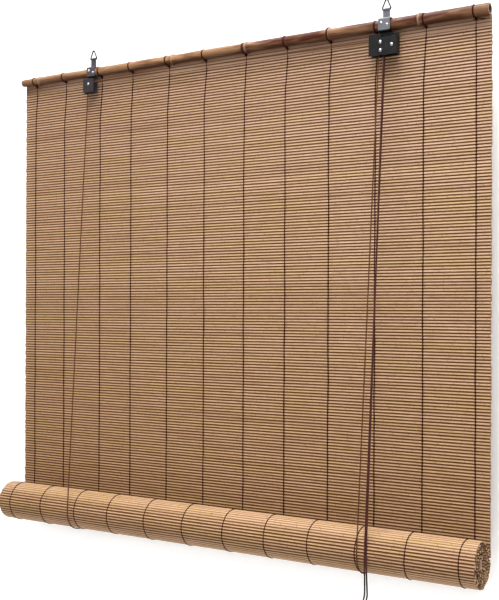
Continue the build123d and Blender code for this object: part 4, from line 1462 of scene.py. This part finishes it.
        [tuple(p) for p in run_line]
        tuple(v * MM for v in crossing)
        [tuple(p) for p in line]
        LOG.info("%s pull cord: %.3f m above the roll's front, %.3f m below", name, upper, length_of(line))

    def radius_at(self, z: float) -> float:
        """The cord is stretched thin where it is wound up."""
        share = min(1.0, max(0.0, (self.thin_from - z) / (self.thin_from - self.thin_by)))
        return self.pull_radius + (self.coiled_radius - self.pull_radius) * share

    def build_tie(self) -> None:
        """Give the tie of the coils its rounded band of black plastic."""
        bm = bmesh.new()
        bm.from_mesh(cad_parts["coil_tie"].data)
        bmesh.ops.remove_doubles(bm, verts=bm.verts[:], dist=2e-6)
        bmesh.ops.dissolve_limit(bm, angle_limit=math.radians(0.5), verts=bm.verts[:], edges=bm.edges[:])
        piece = finish_mesh(bm, "coil_band", PLASTIC.material())
        rounding = piece.modifiers.new("rounded_edges", "BEVEL")
        rounding.width = 0.25 * MM
        rounding.segments = 2
        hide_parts("coil_tie")
        report(piece, Body.SLING, Slot.CORD)


def bottom_near(end: Point, other: Point, away: float) -> Point:
    """A point at a distance from one end of a straight run towards its other end."""
    share = away / math.dist(end, other)
    return tuple(a + (b - a) * share for a, b in zip(end, other))


# ---------------------------------------------------------------- studio
@dataclass
class Studio:
    """Camera, wall, floor and soft light."""

    azimuth: float = math.radians(32.0)
    roll: float = math.radians(0.22)
    position: tuple[float, float, float] = (1.2035, -1.8275, -0.62)
    rise: float = 0.0232
    lens: float = 72.14
    wall_y: float = 0.075
    floor_z: float = -1.9
    half_size: float = 9.0

    def build_camera(self) -> None:
        """Place the camera level, near the middle of the blind's height and to its right."""
        data = bpy.data.cameras.new("camera")
        data.lens = self.lens
        data.sensor_fit = "HORIZONTAL"
        data.sensor_width = 36.0
        data.clip_end = 50.0
        data.shift_y = self.rise
        camera = bpy.data.objects.new("camera", data)
        bpy.context.scene.collection.objects.link(camera)
        right = Vector((math.cos(self.azimuth), math.sin(self.azimuth), 0))
        up = Vector((0, 0, 1))
        back = Vector((math.sin(self.azimuth), -math.cos(self.azimuth), 0))
        x_axis = right * math.cos(self.roll) + up * math.sin(self.roll)
        y_axis = up * math.cos(self.roll) - right * math.sin(self.roll)
        turn = Matrix((x_axis, y_axis, back)).transposed().to_4x4()
        camera.matrix_world = Matrix.Translation(self.position) @ turn
        bpy.context.scene.camera = camera

    def build_stage(self) -> None:
        """Make the pale wall, seen from its front alone, which glows more below the roll as painted light,
        and the pale floor.
        """
        sheet, shader, paint = surface("wall_paint", 0.9, specular=0.1)
        shader.inputs["Base Color"].default_value = srgb(250, 250, 250)
        shader.inputs["Emission Color"].default_value = (1, 1, 1, 1)
        height = sheet.split(sheet.node("ShaderNodeTexCoord").outputs["Object"])[2]
        # painted light: the wall glows more below the roll, lifting the roll's shadow there
        sheet.feed(shader.inputs["Emission Strength"], sheet.ramp(height, -1.22, -1.08, 0.34, 0.06))
        clear = sheet.node("ShaderNodeBsdfTransparent")
        back = sheet.node("ShaderNodeNewGeometry").outputs["Backfacing"]
        both = sheet.node("ShaderNodeMixShader", in0=back, in1=shader.outputs[0], in2=clear.outputs[0])
        sheet.feed(paint.node_tree.nodes["Material Output"].inputs[0], both.outputs[0])
        upright = Matrix.Translation((0, self.wall_y, 0)) @ Matrix.Rotation(math.pi / 2, 4, "X")
        wall = self.plane("wall", self.half_size, upright, paint)
        _, floor_shader, floor_paint = surface("floor_paint", 0.8, specular=0.1)
        floor_shader.inputs["Base Color"].default_value = srgb(215, 215, 215)
        floor = self.plane("floor", self.half_size, Matrix.Translation((0, 0, self.floor_z)), floor_paint)

    @staticmethod
    def plane(
        name: str, half: float, matrix: Matrix, material: bpy.types.Material
    ) -> bpy.types.Object:
        """A large flat square."""
        bm = bmesh.new()
        bmesh.ops.create_grid(bm, x_segments=1, y_segments=1, size=half, matrix=matrix)
        mesh = bpy.data.meshes.new(name)
        bm.to_mesh(mesh)
        bm.free()
        mesh.materials.append(material)
        made = bpy.data.objects.new(name, mesh)
        bpy.context.scene.collection.objects.link(made)
        return made

    def build_lights(self) -> None:
        """Light the blind softly, from the upper right, the front and above."""
        world = bpy.data.worlds.new("room")
        bpy.context.scene.world = world
        world.use_nodes = True
        world.node_tree.nodes["Background"].inputs[0].default_value = (1, 1, 1, 1)
        world.node_tree.nodes["Background"].inputs[1].default_value = 0.40
        self.area("key", (1.4, -1.9, 2.1), 1.6, 84.0)
        self.area("front", (0.7, -3.6, 0.7), 2.4, 34.0)
        self.area("overhead", (0.0, -0.55, 1.7), 1.4, 108.0)

    @staticmethod
    def area(name: str, position: tuple[float, float, float], size: float, power: float) -> None:
        """A square light that faces the middle of the blind."""
        data = bpy.data.lights.new(name, "AREA")
        data.size = size
        data.energy = power
        lamp = bpy.data.objects.new(name, data)
        bpy.context.scene.collection.objects.link(lamp)
        lamp.location = position
        aim = Vector((0, 0, -0.55)) - Vector(position)
        lamp.rotation_mode = "QUATERNION"
        lamp.rotation_quaternion = aim.to_track_quat("-Z", "Y")


def main() -> None:
    """Build the blind in order: camera and cords, fabric, header, hardware, and the studio."""
    logging.basicConfig(level=logging.INFO, format="%(message)s")
    studio = Studio()
    studio.build_camera()
    Cords().build()
    weave = Weave.from_frame()
    LOG.info("%d hanging slats, %.2f mm apart", weave.count, weave.pitch / MM)
    shop = SlatShop(weave)
    HangingFabric(weave, shop).build()
    pole = HeadPole()
    pole.build()
    threads = WarpThreads(weave, pole)
    threads.build()
    RolledFabric(weave, shop, Spiral.from_frame(weave), threads.places).build()
    bpy.data.meshes.remove(shop.template)
    HeaderLath().build()
    Hardware().build()
    studio.build_stage()
    studio.build_lights()
    bpy.context.scene.view_settings.view_transform = "Standard"


if __name__ == "__main__":
    main()
